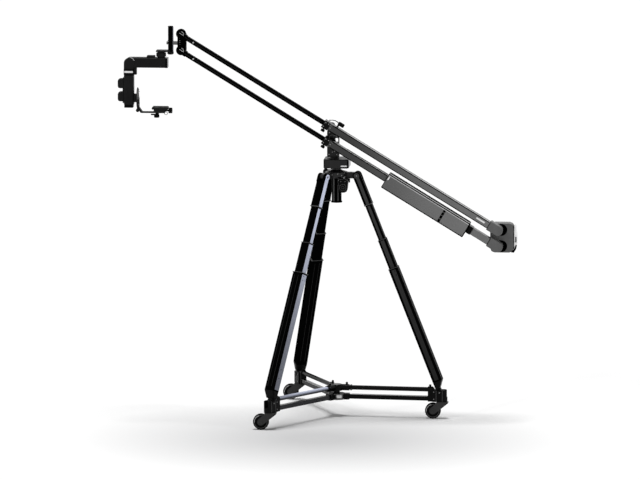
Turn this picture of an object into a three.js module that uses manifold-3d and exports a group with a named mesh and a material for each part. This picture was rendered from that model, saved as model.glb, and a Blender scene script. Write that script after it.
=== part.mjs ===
// A camera jib crane on a wheeled tripod dolly, in millimetres, +Z up.
// The boom lies along X with the head at -X and the counter end at +X.
// Everything is placed from the tripod's own axis, with the floor at zero height,
// and the whole is then set over the middle of its box at the end.
import * as THREE from 'three';
import * as BufferGeometryUtils from 'three/addons/utils/BufferGeometryUtils.js';
import Module from 'manifold-3d';

const wasm = await Module();
wasm.setup();

// Clearances
const SEAT = 0.3; // between two faces that rest on each other
const RUN = 0.35; // all round a sliding or turning fit
const OVERRUN = 2; // how far a cut runs past the faces it opens
const BITE = 0.5; // how far joined bodies reach into each other

// Fineness of round forms
const ROUND_SEGMENTS = 18;
const SMALL_SEGMENTS = 8;
const CORNER_SEGMENTS = 1;
const ROUND_END_SEGMENTS = 4;

// Dolly: three arms of a round tube above a square rail, between a hub and corner blocks
const ARM_TURN = THREE.MathUtils.degToRad(-4.1);
const ANKLE_RADIUS = 402;
const SWIVEL_OUTSET = 5; // beyond the ankle
const TIE_RADIUS = 9;
const TIE_HEIGHT = 111.5;
const RAIL_WIDTH = 17.5;
const RAIL_HEIGHT = 77;
const RAIL_EDGE = 2;
const RAIL_WALL = 2;
const TIE_WALL = 2;
const POCKET_DEPTH = 8;

const HUB_RING_RADIUS = 33;
const HUB_RING_HEIGHT = 24;
const HUB_SOCKET_REACH = 50;
const HUB_SOCKET_WALL = 5;
const HUB_CHAMFER = 3;
const HUB_STEM_RADIUS = 13;
const HUB_STEM_DEPTH = 14;
const HUB_CAP_RADIUS = 22;
const COLLAR_RADIUS = 12.5;
const COLLAR_START = 18;
const COLLAR_REACH = 50;
const TIE_START = 30;
const LOCK_SCREW_RADIUS = 4.5;
const LOCK_SCREW_HEIGHT = 7.5;

const BLOCK_INSET = 30; // its inner end, inside the ankle
const BLOCK_OUTSET = 13; // the middle of its round end, beyond the ankle
const BLOCK_WIDTH = 32;
const BLOCK_BOTTOM = 65;
const BLOCK_TOP = 112;
const BLOCK_EDGE = 2;
const BLOCK_SLOT_START = 17;
const BLOCK_SLOT_FLOOR = 84;
const RECEIVER_LENGTH = 16;
const RECEIVER_WALL = 2.6;
const SLEEVE_RADIUS = 12;
const ANKLE_HEIGHT = 102;
const ANKLE_PIN_RADIUS = 4;
const ANKLE_CAP_RADIUS = 8;
const ANKLE_CAP_HEIGHT = 2.5;

// Casters
const WHEEL_RADIUS = 30.5;
const WHEEL_WIDTH = 22;
const WHEEL_CROWN = 3;
const WHEEL_RECESS_RADIUS = 21;
const WHEEL_RECESS_DEPTH = 2;
const CASTER_TRAIL = 32;
const AXLE_RADIUS = 4;
const AXLE_HEAD_RADIUS = 7;
const AXLE_HEAD_HEIGHT = 2.5;
const FORK_THICKNESS = 3;
const FORK_SIDE_GAP = 1;
const FORK_TOP_FRONT = 27;
const FORK_TOP_BACK = 18;
const FORK_TOP_THICKNESS = 4;
const FORK_BLADE_RADIUS = 13.5;
const STEM_RADIUS = 6;
const STEM_LENGTH = 14;

// Tripod: three legs that are widest at the foot
const HINGE_RADIUS = 80;
const HINGE_HEIGHT = 936;
const LEG_OUTER = { depth: 37.5, width: 47.5, chamfer: 5 };
const LEG_MIDDLE = { depth: 32, width: 38.5, chamfer: 4 };
const LEG_INNER = { depth: 26.5, width: 32.5, chamfer: 3 };
const LEG_INNER_WALL = 2.5;
const LEG_SET_OUT = 9.5; // how far outside the ankle pin the tubes' own axis passes
const FOOT_NECK_WIDTH = 18;
const FOOT_CONE_START = 17.5;
const FOOT_CONE_BELOW = { depth: 18, width: 39, chamfer: 3 };
const FOOT_CONE_END = 44;
const FOOT_PLUG_LENGTH = 18;
const LEG_OUTER_TOP = 512;
const LEG_MIDDLE_TOP = 630;
const LEG_FORK_BOTTOM = 772;
const LEG_FORK_CORE_TOP = 872;
const LEG_OVERLAP = 190;
const FORK_HEAD = { depth: 31, width: 35.5, chamfer: 3 };
const FORK_CHEEK = 7.7;
const HINGE_PIN_RADIUS = 4;
const HINGE_PIN_FREEDOM = 2.1; // slack that the leg's slanting travel needs at the crown
const HINGE_CAP_RADIUS = 8;
const HINGE_CAP_HEIGHT = 3.5;

// Crown, centre column and the small control box
const CROWN_RADIUS = 43;
const CROWN_BELOW_HINGE = 9;
const CROWN_ABOVE_HINGE = 18;
const CROWN_CHAMFER = 6;
const CROWN_NECK_RADIUS = 17.5;
const PAN_SHAFT_RADIUS = 11;
const PAN_SHAFT_LENGTH = 18;
const LUG_THICKNESS = 19;
const LUG_RADIUS = 12;
const COLUMN_RADIUS = 19;
const COLUMN_DROP = 97;
const COLUMN_FLANGE_RADIUS = 21.5;
const COLUMN_FLANGE_HEIGHT = 5;
const COLUMN_RAIL_WIDTH = 9;
const COLUMN_RAIL_PROUD = 2.5;
const COLUMN_SPIGOT_RADIUS = 12;
const COLUMN_SPIGOT_LENGTH = 8;
const CONTROL_WIDTH = 42;
const CONTROL_HEIGHT = 53;
const CONTROL_DEPTH = 30;
const CONTROL_X = 29;
const CONTROL_FRONT = -53;
const CONTROL_TAPER = 4;
const CONTROL_CORNER = 13;
const CONTROL_SCREW_RADIUS = 4;
const CONTROL_SCREW_SPREAD = 15;
const CONTROL_SCREW_DROP = 14;
const CONTROL_SCREW_PROUD = 1.5;
const CONTROL_FACE_INSET = 6;
const CONTROL_FACE_PROUD = 2;
const BRACKET_WIDTH = 10;
const BRACKET_HEIGHT = 14;
const BRACKET_THICKNESS = 5;

// Pan base and mast
const BASE_WIDTH = 94;
const BASE_ABOVE_CROWN = 12;
const BASE_HEIGHT = 35;
const BASE_CORNER = 6;
const BASE_EDGE = 1.5;
const MAST_FOOT_RADIUS = 17;
const MAST_FOOT_HEIGHT = 4;
const MAST_FOOT_X = -8;
const MAST_LEFT = -36;
const MAST_RIGHT = 10;
const MAST_THICKNESS = 28;
const MAST_PIVOT_X = -19.2;
const PIVOT_ABOVE_MAST_BASE = 57;
const PIVOT_SPACING = 63;
const MAST_TOP_RADIUS = 13;
const MAST_SHOULDER_DROP = 22;
const MAST_WINDOW_WIDTH = 12;
const MAST_WINDOW_HEIGHT = 17;
const MAST_WINDOW_X = 1;
const MAST_WINDOW_ABOVE_PIVOT = 0.5;
const MAST_EDGE = 2;

// Boom
const BOOM_TILT = THREE.MathUtils.degToRad(31.35);
const BEAM_GAP_TO_MAST = 6;
const BEAM_HEIGHT = 27;
const BEAM_DEPTH = 41;
const BEAM_EDGE = 2.5;
const BEAM_FRONT = 31;
const FRONT_REACH = 675;
const REAR_REACH = 751.5;
const TUBE_HEIGHT = 17;
const TUBE_DEPTH = 24;
const TUBE_EDGE = 3;
const TUBE_WALL = 2;
const TUBE_OVERLAP = 72;
const KNUCKLE_RADIUS = 10.5;
const KNUCKLE_LENGTH = 26;
const CLAMP_LENGTH = 22;
const CLAMP_PROUD = 1.5;
const CLAMP_SLIT = 1.6;
const PIVOT_STUB_RADIUS = 8;
const PIVOT_DISC_RADIUS = 15;
const PIVOT_CAP_RADIUS = 12;
const PIVOT_CAP_HEIGHT = 4;
const PIVOT_NOSE_RADIUS = 6;
const PIVOT_NOSE_LENGTH = 4;
const FRONT_DISC_RADIUS = 19.5;
const FRONT_STUB_RADIUS = 6;
const FRONT_CAP_RADIUS = 8;
const FRONT_CAP_HEIGHT = 2;

const SOCKET_RADIUS = 19;
const SOCKET_LENGTH = 41;
const SOCKET_PLUG_LENGTH = 14;
const SOCKET_PIN_RADIUS = 8;
const SOCKET_PIN_LENGTH = 28;

const HOUSING_TO_PIVOT = 136.5; // from its rear end to the rear pivot
const HOUSING_LENGTH = 364;
const HOUSING_HEIGHT = 62;
const HOUSING_DEPTH = 58;
const HOUSING_ABOVE_BEAM = 11;
const HOUSING_BEHIND_BEAM = 5;
const HOUSING_CORNER = 4;
const HOUSING_SEAM_SHARE = 0.7;
const HOUSING_SEAM_WIDTH = 9;
const HOUSING_SEAM_DEPTH = 1.6;

const KNOB_STEM_RADIUS = 3.5;
const KNOB_STEM_LENGTH = 7;
const KNOB_HEAD_RADIUS = 8;
const KNOB_HEAD_HEIGHT = 9;
const KNOB_LOBES = 6;
const KNOB_FLUTE_RADIUS = 2.6;
const TOP_LOCK_AT = 21;
const TOP_LOCK_NECK = 8;
const TOP_LOCK_LENGTH = 26;
const TOP_LOCK_WIDTH = 16;
const TOP_LOCK_HEIGHT = 14;
const TOP_LOCK_CORNER = 3.5;
const TOP_LOCK_SHIFT = 8;
const BOW_HALF = 1.5;
const BOW_REACH = 38;
const BOW_RISE = 7;
const BOW_DROP = 8;
const BOW_TIP_RADIUS = 3;

// Rear link, with its lower pivot at its own origin
const LINK_FRONT_GAP = 0.6;
const REAR_LINK_LEFT = 31.5;
const REAR_LINK_RIGHT = 59;
const REAR_LINK_BELOW = 26;
const REAR_LINK_ABOVE = 25;
const REAR_LINK_DEPTH = 46;
const REAR_LINK_CORNER = 17;
const REAR_LINK_EDGE = 2;
const COVER_BULGE = 14;
const COVER_BELLY = 18;
const COVER_TOP_WIDTH = 6;
const COVER_TOP_INSET = 4;
const COVER_BOTTOM_INSET = 6;
const COVER_LOW_SHARE = 0.45;
const COVER_SIDE_INSET = 3;
const COVER_EDGE = 1.5;

// Front link, with its lower pivot at its own origin
const FRONT_LINK_LEFT = 15;
const FRONT_LINK_RIGHT = 18.5;
const FRONT_LINK_BELOW = 11.5;
const FRONT_LINK_ABOVE = 4;
const FRONT_LINK_DEPTH = 28;
const FRONT_LINK_CORNER = 8;
const LINK_SCREW_RADIUS = 2.6;
const LINK_SCREW_PROUD = 1;
const LINK_SCREW_X = 3;
const LINK_SCREW_PITCH = 9.5;
const LINK_SCREW_COUNT = 3;

// Head, placed from the front link's lower pivot
const SPIGOT_RISE = 25.6;
const SPIGOT_RADIUS = 7.5;
const SPIGOT_GAP = 17.8;
const SPIGOT_TENON_RADIUS = 5;
const SPIGOT_TENON_DEPTH = 10;
const SPIGOT_BOLT_RADIUS = 4;
const SPIGOT_NUT_RADIUS = 6.5;
const SPIGOT_NUT_HEIGHT = 5;
const POST_RADIUS = 9.8;
const POST_WALL = 2.5;
const POST_ABOVE_SPIGOT = 65;
const POST_BELOW_SPIGOT = 44.4;
const FOOT_PLATE_TOP = -2.4;
const FOOT_PLATE_LENGTH = 55;
const FOOT_PLATE_WIDTH = 40;
const FOOT_PLATE_THICKNESS = 6;
const FOOT_PLATE_CORNER = 4;
const FOOT_RING_WALL = 2.5;
const FOOT_RING_HEIGHT = 8;
const PAN_AXIS_OFFSET = 36.1;
const PAN_DRUM_RADIUS = 19;
const PAN_DRUM_HEIGHT = 15;
const PAN_DRUM_GROOVE = 1.5;
const PAN_NECK_RADIUS = 14;
const PAN_NECK_HEIGHT = 4;
const PAN_SPINDLE_RADIUS = 6;
const PAN_SPINDLE_LENGTH = 12;
const HEAD_ARM_HEIGHT = 38;
const HEAD_ARM_DEPTH = 40;
const HEAD_ARM_INNER_END = 26;
const HEAD_ARM_OUTER_END = 142.5;
const HEAD_ARM_ELBOW = 25;
const HEAD_EDGE = 2.5;
const HEAD_BOX_LENGTH = 31;
const HEAD_BOX_DEPTH = 30;
const HEAD_BOX_HEIGHT = 8;
const HEAD_BOX_AT = 39;
const FIN_WIDTH = 11;
const FIN_DEPTH = 24;
const FIN_END = 66;
const DROP_WIDTH = 37;
const DROP_START = 68;
const DROP_END = 182;
const DROP_PLUG_HEIGHT = 6;
const DROP_PLUG_INSET = 6;
const DROP_CAP_HEIGHT = 11;
const DROP_CAP_INSET = 1;
const DROP_CAP_RIBS = 5;
const DROP_RIB_WIDTH = 3;
const DROP_RIB_DEPTH = 1.2;
const COVER_PLATE_WIDTH = 34;
const COVER_PLATE_HEIGHT = 98;
const COVER_PLATE_THICKNESS = 5;
const COVER_PLATE_CORNER = 4;
const COVER_PLATE_DROP = 78;
const BUMP_UPPER_DROP = 100.5;
const BUMP_LOWER_DROP = 151;
const BUMP_PROUD = 19;
const BUMP_HEIGHT = 36;
const BUMP_WIDTH = 32;
const BUMP_CORNER = 8;
const TILT_DROP = 157;
const TILT_HUB_RADIUS = 17;
const TILT_HUB_LENGTH = 12.8;
const TILT_SHAFT_RADIUS = 5;
const TILT_SHAFT_LENGTH = 12;
const TILT_DISC_RADIUS = 41;
const TILT_DISC_THICKNESS = 2.5;
const TILT_ARM_WIDTH = 26;
const TILT_ARM_THICKNESS = 5;
const TILT_ARM_DROP = 52;
const TILT_KNEE = 12;
const TILT_KNUCKLE_RADIUS = 7;
const TILT_BAR_LENGTH = 92;
const TILT_BAR_THICKNESS = 4.5;
const BAR_LOOP_RADIUS = 6;
const BAR_LOOP_HALF = 1.2;
const CLAMP_BLOCK_AT = -6;
const CLAMP_BLOCK_LENGTH = 44;
const CLAMP_BLOCK_WIDTH = 36;
const CLAMP_BLOCK_HEIGHT = 10;
const PLATE_AT = -4;
const PLATE_LENGTH = 62;
const PLATE_WIDTH = 50;
const PLATE_THICKNESS = 7.5;
const PLATE_CORNER = 4;
const PLATE_LEVER_AT = -16;
const PLATE_LEVER_RADIUS = 7;
const PLATE_LEVER_HEIGHT = 9;
const PLATE_LEVER_LENGTH = 24;
const PLATE_LEVER_THICKNESS = 5;
const PLATE_KNOB_RADIUS = 11;
const PLATE_KNOB_LENGTH = 14;
const PLATE_KNOB_STEM_RADIUS = 4;
const PLATE_KNOB_STEM_LENGTH = 12;
const PLATE_KNOB_TENON = 8;

// Places worked out from the sizes above
const SWIVEL_RADIUS = ANKLE_RADIUS + SWIVEL_OUTSET;
const BLOCK_INNER = ANKLE_RADIUS - BLOCK_INSET;
const BLOCK_END_CENTRE = ANKLE_RADIUS + BLOCK_OUTSET;
const CROWN_BOTTOM = HINGE_HEIGHT - CROWN_BELOW_HINGE;
const CROWN_TOP = HINGE_HEIGHT + CROWN_ABOVE_HINGE;
const COLUMN_BOTTOM = CROWN_BOTTOM - COLUMN_DROP;
const BASE_BOTTOM = CROWN_TOP + BASE_ABOVE_CROWN;
const BASE_TOP = BASE_BOTTOM + BASE_HEIGHT;
const MAST_BASE = BASE_TOP + MAST_FOOT_HEIGHT;
const PIVOT_LOWER_HEIGHT = MAST_BASE + PIVOT_ABOVE_MAST_BASE;
const LEG_RUN = ANKLE_RADIUS - HINGE_RADIUS;
const LEG_RISE = HINGE_HEIGHT - ANKLE_HEIGHT;
const LEG_SPAN = Math.hypot(LEG_RUN, LEG_RISE);
const LEG_LENGTH = Math.sqrt(LEG_SPAN ** 2 - LEG_SET_OUT ** 2);
const LEG_LEAN = Math.atan2(LEG_RUN, LEG_RISE) + Math.asin(LEG_SET_OUT / LEG_SPAN);
const MAST_FRONT = -MAST_THICKNESS / 2;
const BEAM_BACK = MAST_FRONT - BEAM_GAP_TO_MAST;
const BEAM_MIDDLE = BEAM_BACK - BEAM_DEPTH / 2;
const LINK_FRONT = BEAM_BACK + LINK_FRONT_GAP;
const TUBE_BACK = BEAM_MIDDLE + TUBE_DEPTH / 2;
const HOUSING_BACK = BEAM_BACK + HOUSING_BEHIND_BEAM;
const HOUSING_START = REAR_REACH - HOUSING_TO_PIVOT - HOUSING_LENGTH;
const LINK_MIDDLE = LINK_FRONT + FRONT_LINK_DEPTH / 2;
const POST_X = -(FRONT_LINK_LEFT + SPIGOT_GAP + POST_RADIUS);
const PAN_X = POST_X - PAN_AXIS_OFFSET;
const ARM_TOP = FOOT_PLATE_TOP - FOOT_PLATE_THICKNESS - 2 * PAN_NECK_HEIGHT - PAN_DRUM_HEIGHT;
const BAR_TOP = -TILT_DROP - TILT_ARM_DROP;
const CLAMP_FACE = CLAMP_BLOCK_AT + CLAMP_BLOCK_LENGTH / 2;

// Geometry helpers

// One closed solid from a three.js geometry, without the slivers that poles leave.
function toSolid(geometry) {
  const bare = geometry.clone();
  bare.deleteAttribute('normal');
  bare.deleteAttribute('uv');
  const merged = BufferGeometryUtils.mergeVertices(bare);
  const corners = merged.index.array;
  const kept = [];
  for (let i = 0; i < corners.length; i += 3) {
    const [a, b, c] = [corners[i], corners[i + 1], corners[i + 2]];
    if (a !== b && b !== c && c !== a) kept.push(a, b, c);
  }
  return new wasm.Manifold(new wasm.Mesh({
    numProp: 3,
    vertProperties: Float32Array.from(merged.attributes.position.array),
    triVerts: Uint32Array.from(kept),
  }));
}

function toGeometry(solid) {
  const mesh = solid.getMesh();
  const geometry = new THREE.BufferGeometry();
  geometry.setAttribute('position', new THREE.BufferAttribute(mesh.vertProperties, mesh.numProp));
  geometry.setIndex(new THREE.BufferAttribute(mesh.triVerts, 1));
  return geometry;
}

function join(...geometries) {
  const [first, ...rest] = geometries.map(toSolid);
  return toGeometry(rest.reduce((whole, next) => whole.add(next), first));
}

function cut(base, ...tools) {
  return toGeometry(tools.map(toSolid).reduce((left, tool) => left.subtract(tool), toSolid(base)));
}

function block(length, depth, height, x = 0, y = 0, z = 0) {
  return new THREE.BoxGeometry(length, depth, height).translate(x, y, z);
}

// A cylinder whose middle is at the given place and whose axis runs along X, Y or Z.
function cylinder(radius, length, axis, x = 0, y = 0, z = 0, segments = ROUND_SEGMENTS) {
  const geometry = new THREE.CylinderGeometry(radius, radius, length, segments);
  if (axis === 'x') geometry.rotateZ(-Math.PI / 2);
  if (axis === 'z') geometry.rotateX(Math.PI / 2);
  return geometry.translate(x, y, z);
}

// A turned solid about +Z from [radius, height] points that start and end on the axis.
function turned(points, segments = ROUND_SEGMENTS) {
  const profile = points.map(([radius, height]) => new THREE.Vector2(radius, height));
  return new THREE.LatheGeometry(profile, segments).rotateX(Math.PI / 2);
}

function straightExtrusion(shape, length, segments = CORNER_SEGMENTS) {
  return new THREE.ExtrudeGeometry(shape, {
    depth: length,
    bevelEnabled: false,
    curveSegments: segments,
  });
}

function softExtrusion(shape, length, edge, segments = CORNER_SEGMENTS) {
  return new THREE.ExtrudeGeometry(shape, {
    depth: length - 2 * edge,
    bevelEnabled: true,
    bevelThickness: edge,
    bevelSize: edge,
    bevelOffset: -edge,
    bevelSegments: 1,
    curveSegments: segments,
  }).translate(0, 0, edge);
}

// Outlines drawn in (y, z) and run along +X from the given start.
function alongX(geometry, start = 0) {
  const turn = new THREE.Matrix4().makeBasis(
    new THREE.Vector3(0, 1, 0),
    new THREE.Vector3(0, 0, 1),
    new THREE.Vector3(1, 0, 0),
  );
  return geometry.applyMatrix4(turn).translate(start, 0, 0);
}

// Outlines drawn in (x, z), centred on the given y.
function acrossY(geometry, length, middle = 0) {
  return geometry.rotateX(Math.PI / 2).translate(0, middle + length / 2, 0);
}

function roundedRectangle(width, height, corner, x = 0, y = 0) {
  const [w, h] = [width / 2, height / 2];
  const shape = new THREE.Shape();
  shape.moveTo(x - w + corner, y - h);
  shape.lineTo(x + w - corner, y - h);
  shape.absarc(x + w - corner, y - h + corner, corner, -Math.PI / 2, 0);
  shape.absarc(x + w - corner, y + h - corner, corner, 0, Math.PI / 2);
  shape.absarc(x - w + corner, y + h - corner, corner, Math.PI / 2, Math.PI);
  shape.absarc(x - w + corner, y - h + corner, corner, Math.PI, 1.5 * Math.PI);
  return shape;
}

// A rectangle whose small corners are cut straight across
function chamferedRectangle(width, height, chamfer, x = 0, y = 0) {
  const [w, h] = [width / 2, height / 2];
  const [u, v] = [w - chamfer, h - chamfer];
  const corners = [[u, -h], [w, -v], [w, v], [u, h], [-u, h], [-w, v], [-w, -v], [-u, -h]];
  return new THREE.Shape(corners.map(([dx, dy]) => new THREE.Vector2(x + dx, y + dy)));
}

// A leg section's outline: its depth points away from the tripod's axis, its width across it.
function sectionOutline({ depth, width, chamfer }, slack = 0, x = 0) {
  return chamferedRectangle(depth + 2 * slack, width + 2 * slack, chamfer, x);
}

function ring(outer, inner, x = 0, y = 0) {
  const shape = new THREE.Shape().absarc(x, y, outer, 0, 2 * Math.PI);
  shape.holes.push(new THREE.Path().absarc(x, y, inner, 0, 2 * Math.PI));
  return shape;
}

// A bar of eight sides between two leg sections, with its lower and upper ends at the given x.
function taperedBar(sectionBelow, xBelow, sectionAbove, xAbove, bottom, top) {
  const below = sectionOutline(sectionBelow, 0, xBelow).getPoints();
  const above = sectionOutline(sectionAbove, 0, xAbove).getPoints();
  const sides = below.length;
  const points = [];
  below.forEach((p) => points.push(p.x, p.y, bottom));
  above.forEach((p) => points.push(p.x, p.y, top));
  const faces = [];
  for (let i = 0; i < sides; i += 1) {
    const next = (i + 1) % sides;
    faces.push(i, next, sides + next, i, sides + next, sides + i);
  }
  for (let i = 1; i < sides - 1; i += 1) {
    faces.push(0, i + 1, i);
    faces.push(sides, sides + i, sides + i + 1);
  }
  const geometry = new THREE.BufferGeometry();
  geometry.setAttribute('position', new THREE.Float32BufferAttribute(points, 3));
  geometry.setIndex(faces);
  return geometry;
}

// A bar with one flat end and one round end, drawn flat: the round end's centre is the origin.
function tongueOutline(radius, length) {
  const shape = new THREE.Shape();
  shape.moveTo(length, -radius);
  shape.lineTo(length, radius);
  shape.lineTo(0, radius);
  shape.absarc(0, 0, radius, Math.PI / 2, 1.5 * Math.PI);
  return shape;
}

// Materials
function finish(colour, roughness, metalness) {
  return new THREE.MeshStandardMaterial({ color: colour, roughness, metalness });
}

const FINISHES = {
  blackGloss: () => finish(0x0b0c0e, 0.22, 0.4),
  blackSatin: () => finish(0x1c1c1e, 0.45, 0.3),
  darkGrey: () => finish(0x343434, 0.5, 0.4),
  beamGrey: () => finish(0x565757, 0.45, 0.5),
  socketGrey: () => finish(0x585858, 0.5, 0.4),
  coverWhite: () => finish(0xe4e6ea, 0.4, 0),
  rubber: () => finish(0x0a0a0a, 0.6, 0),
  steel: () => finish(0x8a8c90, 0.35, 0.9),
};

function piece(name, geometry, material) {
  const mesh = new THREE.Mesh(geometry, material());
  mesh.name = name;
  return mesh;
}

function group(...children) {
  const holder = new THREE.Group();
  children.forEach((child) => holder.add(child));
  return holder;
}

// Dolly arms stand at thirds of a turn: the front one, the back one and the rear one.
const ARM_NAMES = ['rear', 'front', 'back'];
const ARM_STEP = -2 * Math.PI / ARM_NAMES.length;

function armHolder(index, ...children) {
  const holder = group(...children);
  holder.rotation.z = ARM_TURN + index * ARM_STEP;
  return holder;
}

function aroundHub(makeOne) {
  return ARM_NAMES.map((name, index) => makeOne().rotateZ(ARM_TURN + index * ARM_STEP));
}

// A small lock screw, standing on the given height
function lockScrew(x, z) {
  return cylinder(LOCK_SCREW_RADIUS, LOCK_SCREW_HEIGHT, 'z', x, 0, z + LOCK_SCREW_HEIGHT / 2,
    SMALL_SEGMENTS);
}

// Hub ring: a flat drum with three square sockets that take the rails
function hubRing() {
  const top = RAIL_HEIGHT + HUB_RING_HEIGHT / 2;
  const bottom = RAIL_HEIGHT - HUB_RING_HEIGHT / 2;
  const drum = turned([
    [0, bottom],
    [HUB_RING_RADIUS - HUB_CHAMFER, bottom],
    [HUB_RING_RADIUS, bottom + HUB_CHAMFER],
    [HUB_RING_RADIUS, top - HUB_CHAMFER],
    [HUB_RING_RADIUS - HUB_CHAMFER, top],
    [0, top],
  ]);
  const socketWidth = RAIL_WIDTH + 2 * HUB_SOCKET_WALL;
  const socket = () => alongX(
    straightExtrusion(chamferedRectangle(socketWidth, HUB_RING_HEIGHT, HUB_CHAMFER, 0, RAIL_HEIGHT),
      HUB_SOCKET_REACH),
  );
  const hole = RAIL_WIDTH + 2 * RUN;
  const pocketStart = HUB_SOCKET_REACH - 2 * POCKET_DEPTH;
  const pocket = () => block(2 * POCKET_DEPTH + OVERRUN, hole, hole,
    pocketStart + POCKET_DEPTH + OVERRUN / 2, 0, RAIL_HEIGHT);
  const bore = cylinder(HUB_STEM_RADIUS + RUN, HUB_STEM_DEPTH + SEAT + OVERRUN, 'z', 0, 0,
    top - (HUB_STEM_DEPTH + SEAT - OVERRUN) / 2);
  return cut(join(drum, ...aroundHub(socket)), ...aroundHub(pocket), bore);
}

// Hub cap: a drum on a stem, with three round collars and their lock screws
function hubCap() {
  const top = TIE_HEIGHT + COLLAR_RADIUS;
  const bottom = TIE_HEIGHT - COLLAR_RADIUS;
  const stemBottom = RAIL_HEIGHT + HUB_RING_HEIGHT / 2 - HUB_STEM_DEPTH;
  const drum = turned([
    [0, stemBottom],
    [HUB_STEM_RADIUS, stemBottom],
    [HUB_STEM_RADIUS, bottom],
    [HUB_CAP_RADIUS, bottom],
    [HUB_CAP_RADIUS, top - HUB_CHAMFER],
    [HUB_CAP_RADIUS - HUB_CHAMFER, top],
    [0, top],
  ]);
  const collarMiddle = (COLLAR_REACH + COLLAR_START) / 2;
  const collar = () => join(
    cylinder(COLLAR_RADIUS, COLLAR_REACH - COLLAR_START, 'x', collarMiddle, 0, TIE_HEIGHT,
      2 * SMALL_SEGMENTS),
    lockScrew((TIE_START + COLLAR_REACH) / 2, top - BITE),
  );
  const bore = () => cylinder(TIE_RADIUS + RUN, COLLAR_REACH - TIE_START + OVERRUN, 'x',
    (TIE_START + COLLAR_REACH + OVERRUN) / 2, 0, TIE_HEIGHT);
  return cut(join(drum, ...aroundHub(collar)), ...aroundHub(bore));
}

function tieTube() {
  const start = TIE_START + SEAT;
  const end = BLOCK_INNER + POCKET_DEPTH - SEAT;
  return alongX(straightExtrusion(ring(TIE_RADIUS, TIE_RADIUS - TIE_WALL, 0, TIE_HEIGHT), end - start,
    SMALL_SEGMENTS / 2), start);
}

function rail() {
  const start = HUB_SOCKET_REACH - 2 * POCKET_DEPTH + SEAT;
  const end = BLOCK_INNER - RECEIVER_LENGTH + 2 * POCKET_DEPTH - SEAT;
  const outline = chamferedRectangle(RAIL_WIDTH, RAIL_WIDTH, RAIL_EDGE, 0, RAIL_HEIGHT);
  const inside = RAIL_WIDTH - 2 * RAIL_WALL;
  outline.holes.push(chamferedRectangle(inside, inside, RAIL_EDGE / 2, 0, RAIL_HEIGHT));
  return alongX(straightExtrusion(outline, end - start), start);
}

// Corner block: two cheeks that hold the ankle pin, and a receiver for the arm's tube and rail
function cornerBlock() {
  const outline = tongueOutline(BLOCK_WIDTH / 2, BLOCK_END_CENTRE - BLOCK_INNER);
  const body = softExtrusion(outline, BLOCK_TOP - BLOCK_BOTTOM, BLOCK_EDGE, ROUND_END_SEGMENTS)
    .rotateZ(Math.PI)
    .translate(BLOCK_END_CENTRE, 0, BLOCK_BOTTOM);
  const receiverWidth = RAIL_WIDTH + 2 * RECEIVER_WALL;
  const receiverBottom = RAIL_HEIGHT - RAIL_WIDTH / 2 - RECEIVER_WALL;
  const receiverStart = BLOCK_INNER - RECEIVER_LENGTH;
  const receiverReach = RECEIVER_LENGTH + BLOCK_EDGE + BITE;
  const receiver = block(receiverReach, receiverWidth, TIE_HEIGHT - receiverBottom,
    receiverStart + receiverReach / 2, 0, (TIE_HEIGHT + receiverBottom) / 2);
  const tieSleeve = cylinder(SLEEVE_RADIUS, receiverReach, 'x', receiverStart + receiverReach / 2, 0,
    TIE_HEIGHT);
  const railHole = RAIL_WIDTH + 2 * RUN;
  const railPocket = block(2 * POCKET_DEPTH + OVERRUN, railHole, railHole,
    BLOCK_INNER - RECEIVER_LENGTH + POCKET_DEPTH - OVERRUN / 2, 0, RAIL_HEIGHT);
  const tiePocketDepth = RECEIVER_LENGTH + POCKET_DEPTH + OVERRUN;
  const tiePocket = cylinder(TIE_RADIUS + RUN, tiePocketDepth, 'x',
    BLOCK_INNER + POCKET_DEPTH - tiePocketDepth / 2, 0, TIE_HEIGHT);
  const slotStart = ANKLE_RADIUS - BLOCK_SLOT_START;
  const slotLength = BLOCK_END_CENTRE + BLOCK_WIDTH / 2 - slotStart + OVERRUN;
  const slotHeight = BLOCK_TOP - BLOCK_SLOT_FLOOR + OVERRUN;
  const slot = block(slotLength, FOOT_NECK_WIDTH + 2 * RUN, slotHeight,
    slotStart + slotLength / 2, 0, BLOCK_SLOT_FLOOR + slotHeight / 2);
  const stemHole = cylinder(STEM_RADIUS + RUN, STEM_LENGTH + SEAT + OVERRUN, 'z', SWIVEL_RADIUS, 0,
    BLOCK_BOTTOM + (STEM_LENGTH + SEAT - OVERRUN) / 2);
  const pinLength = BLOCK_WIDTH + 2 * ANKLE_CAP_HEIGHT;
  const pin = cylinder(ANKLE_PIN_RADIUS, pinLength - ANKLE_CAP_HEIGHT, 'y', ANKLE_RADIUS, 0,
    ANKLE_HEIGHT, SMALL_SEGMENTS);
  const caps = [-1, 1].map((side) => cylinder(ANKLE_CAP_RADIUS, ANKLE_CAP_HEIGHT + BITE, 'y',
    ANKLE_RADIUS, side * (BLOCK_WIDTH + ANKLE_CAP_HEIGHT - BITE) / 2, ANKLE_HEIGHT, SMALL_SEGMENTS));
  const screw = lockScrew(receiverStart + RECEIVER_LENGTH / 2, TIE_HEIGHT + SLEEVE_RADIUS - BITE);
  const opened = cut(join(body, receiver, tieSleeve), railPocket, tiePocket, slot, stemHole);
  return join(opened, pin, ...caps, screw);
}

// Casters
const FORK_TOP = BLOCK_BOTTOM - SEAT;

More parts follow.
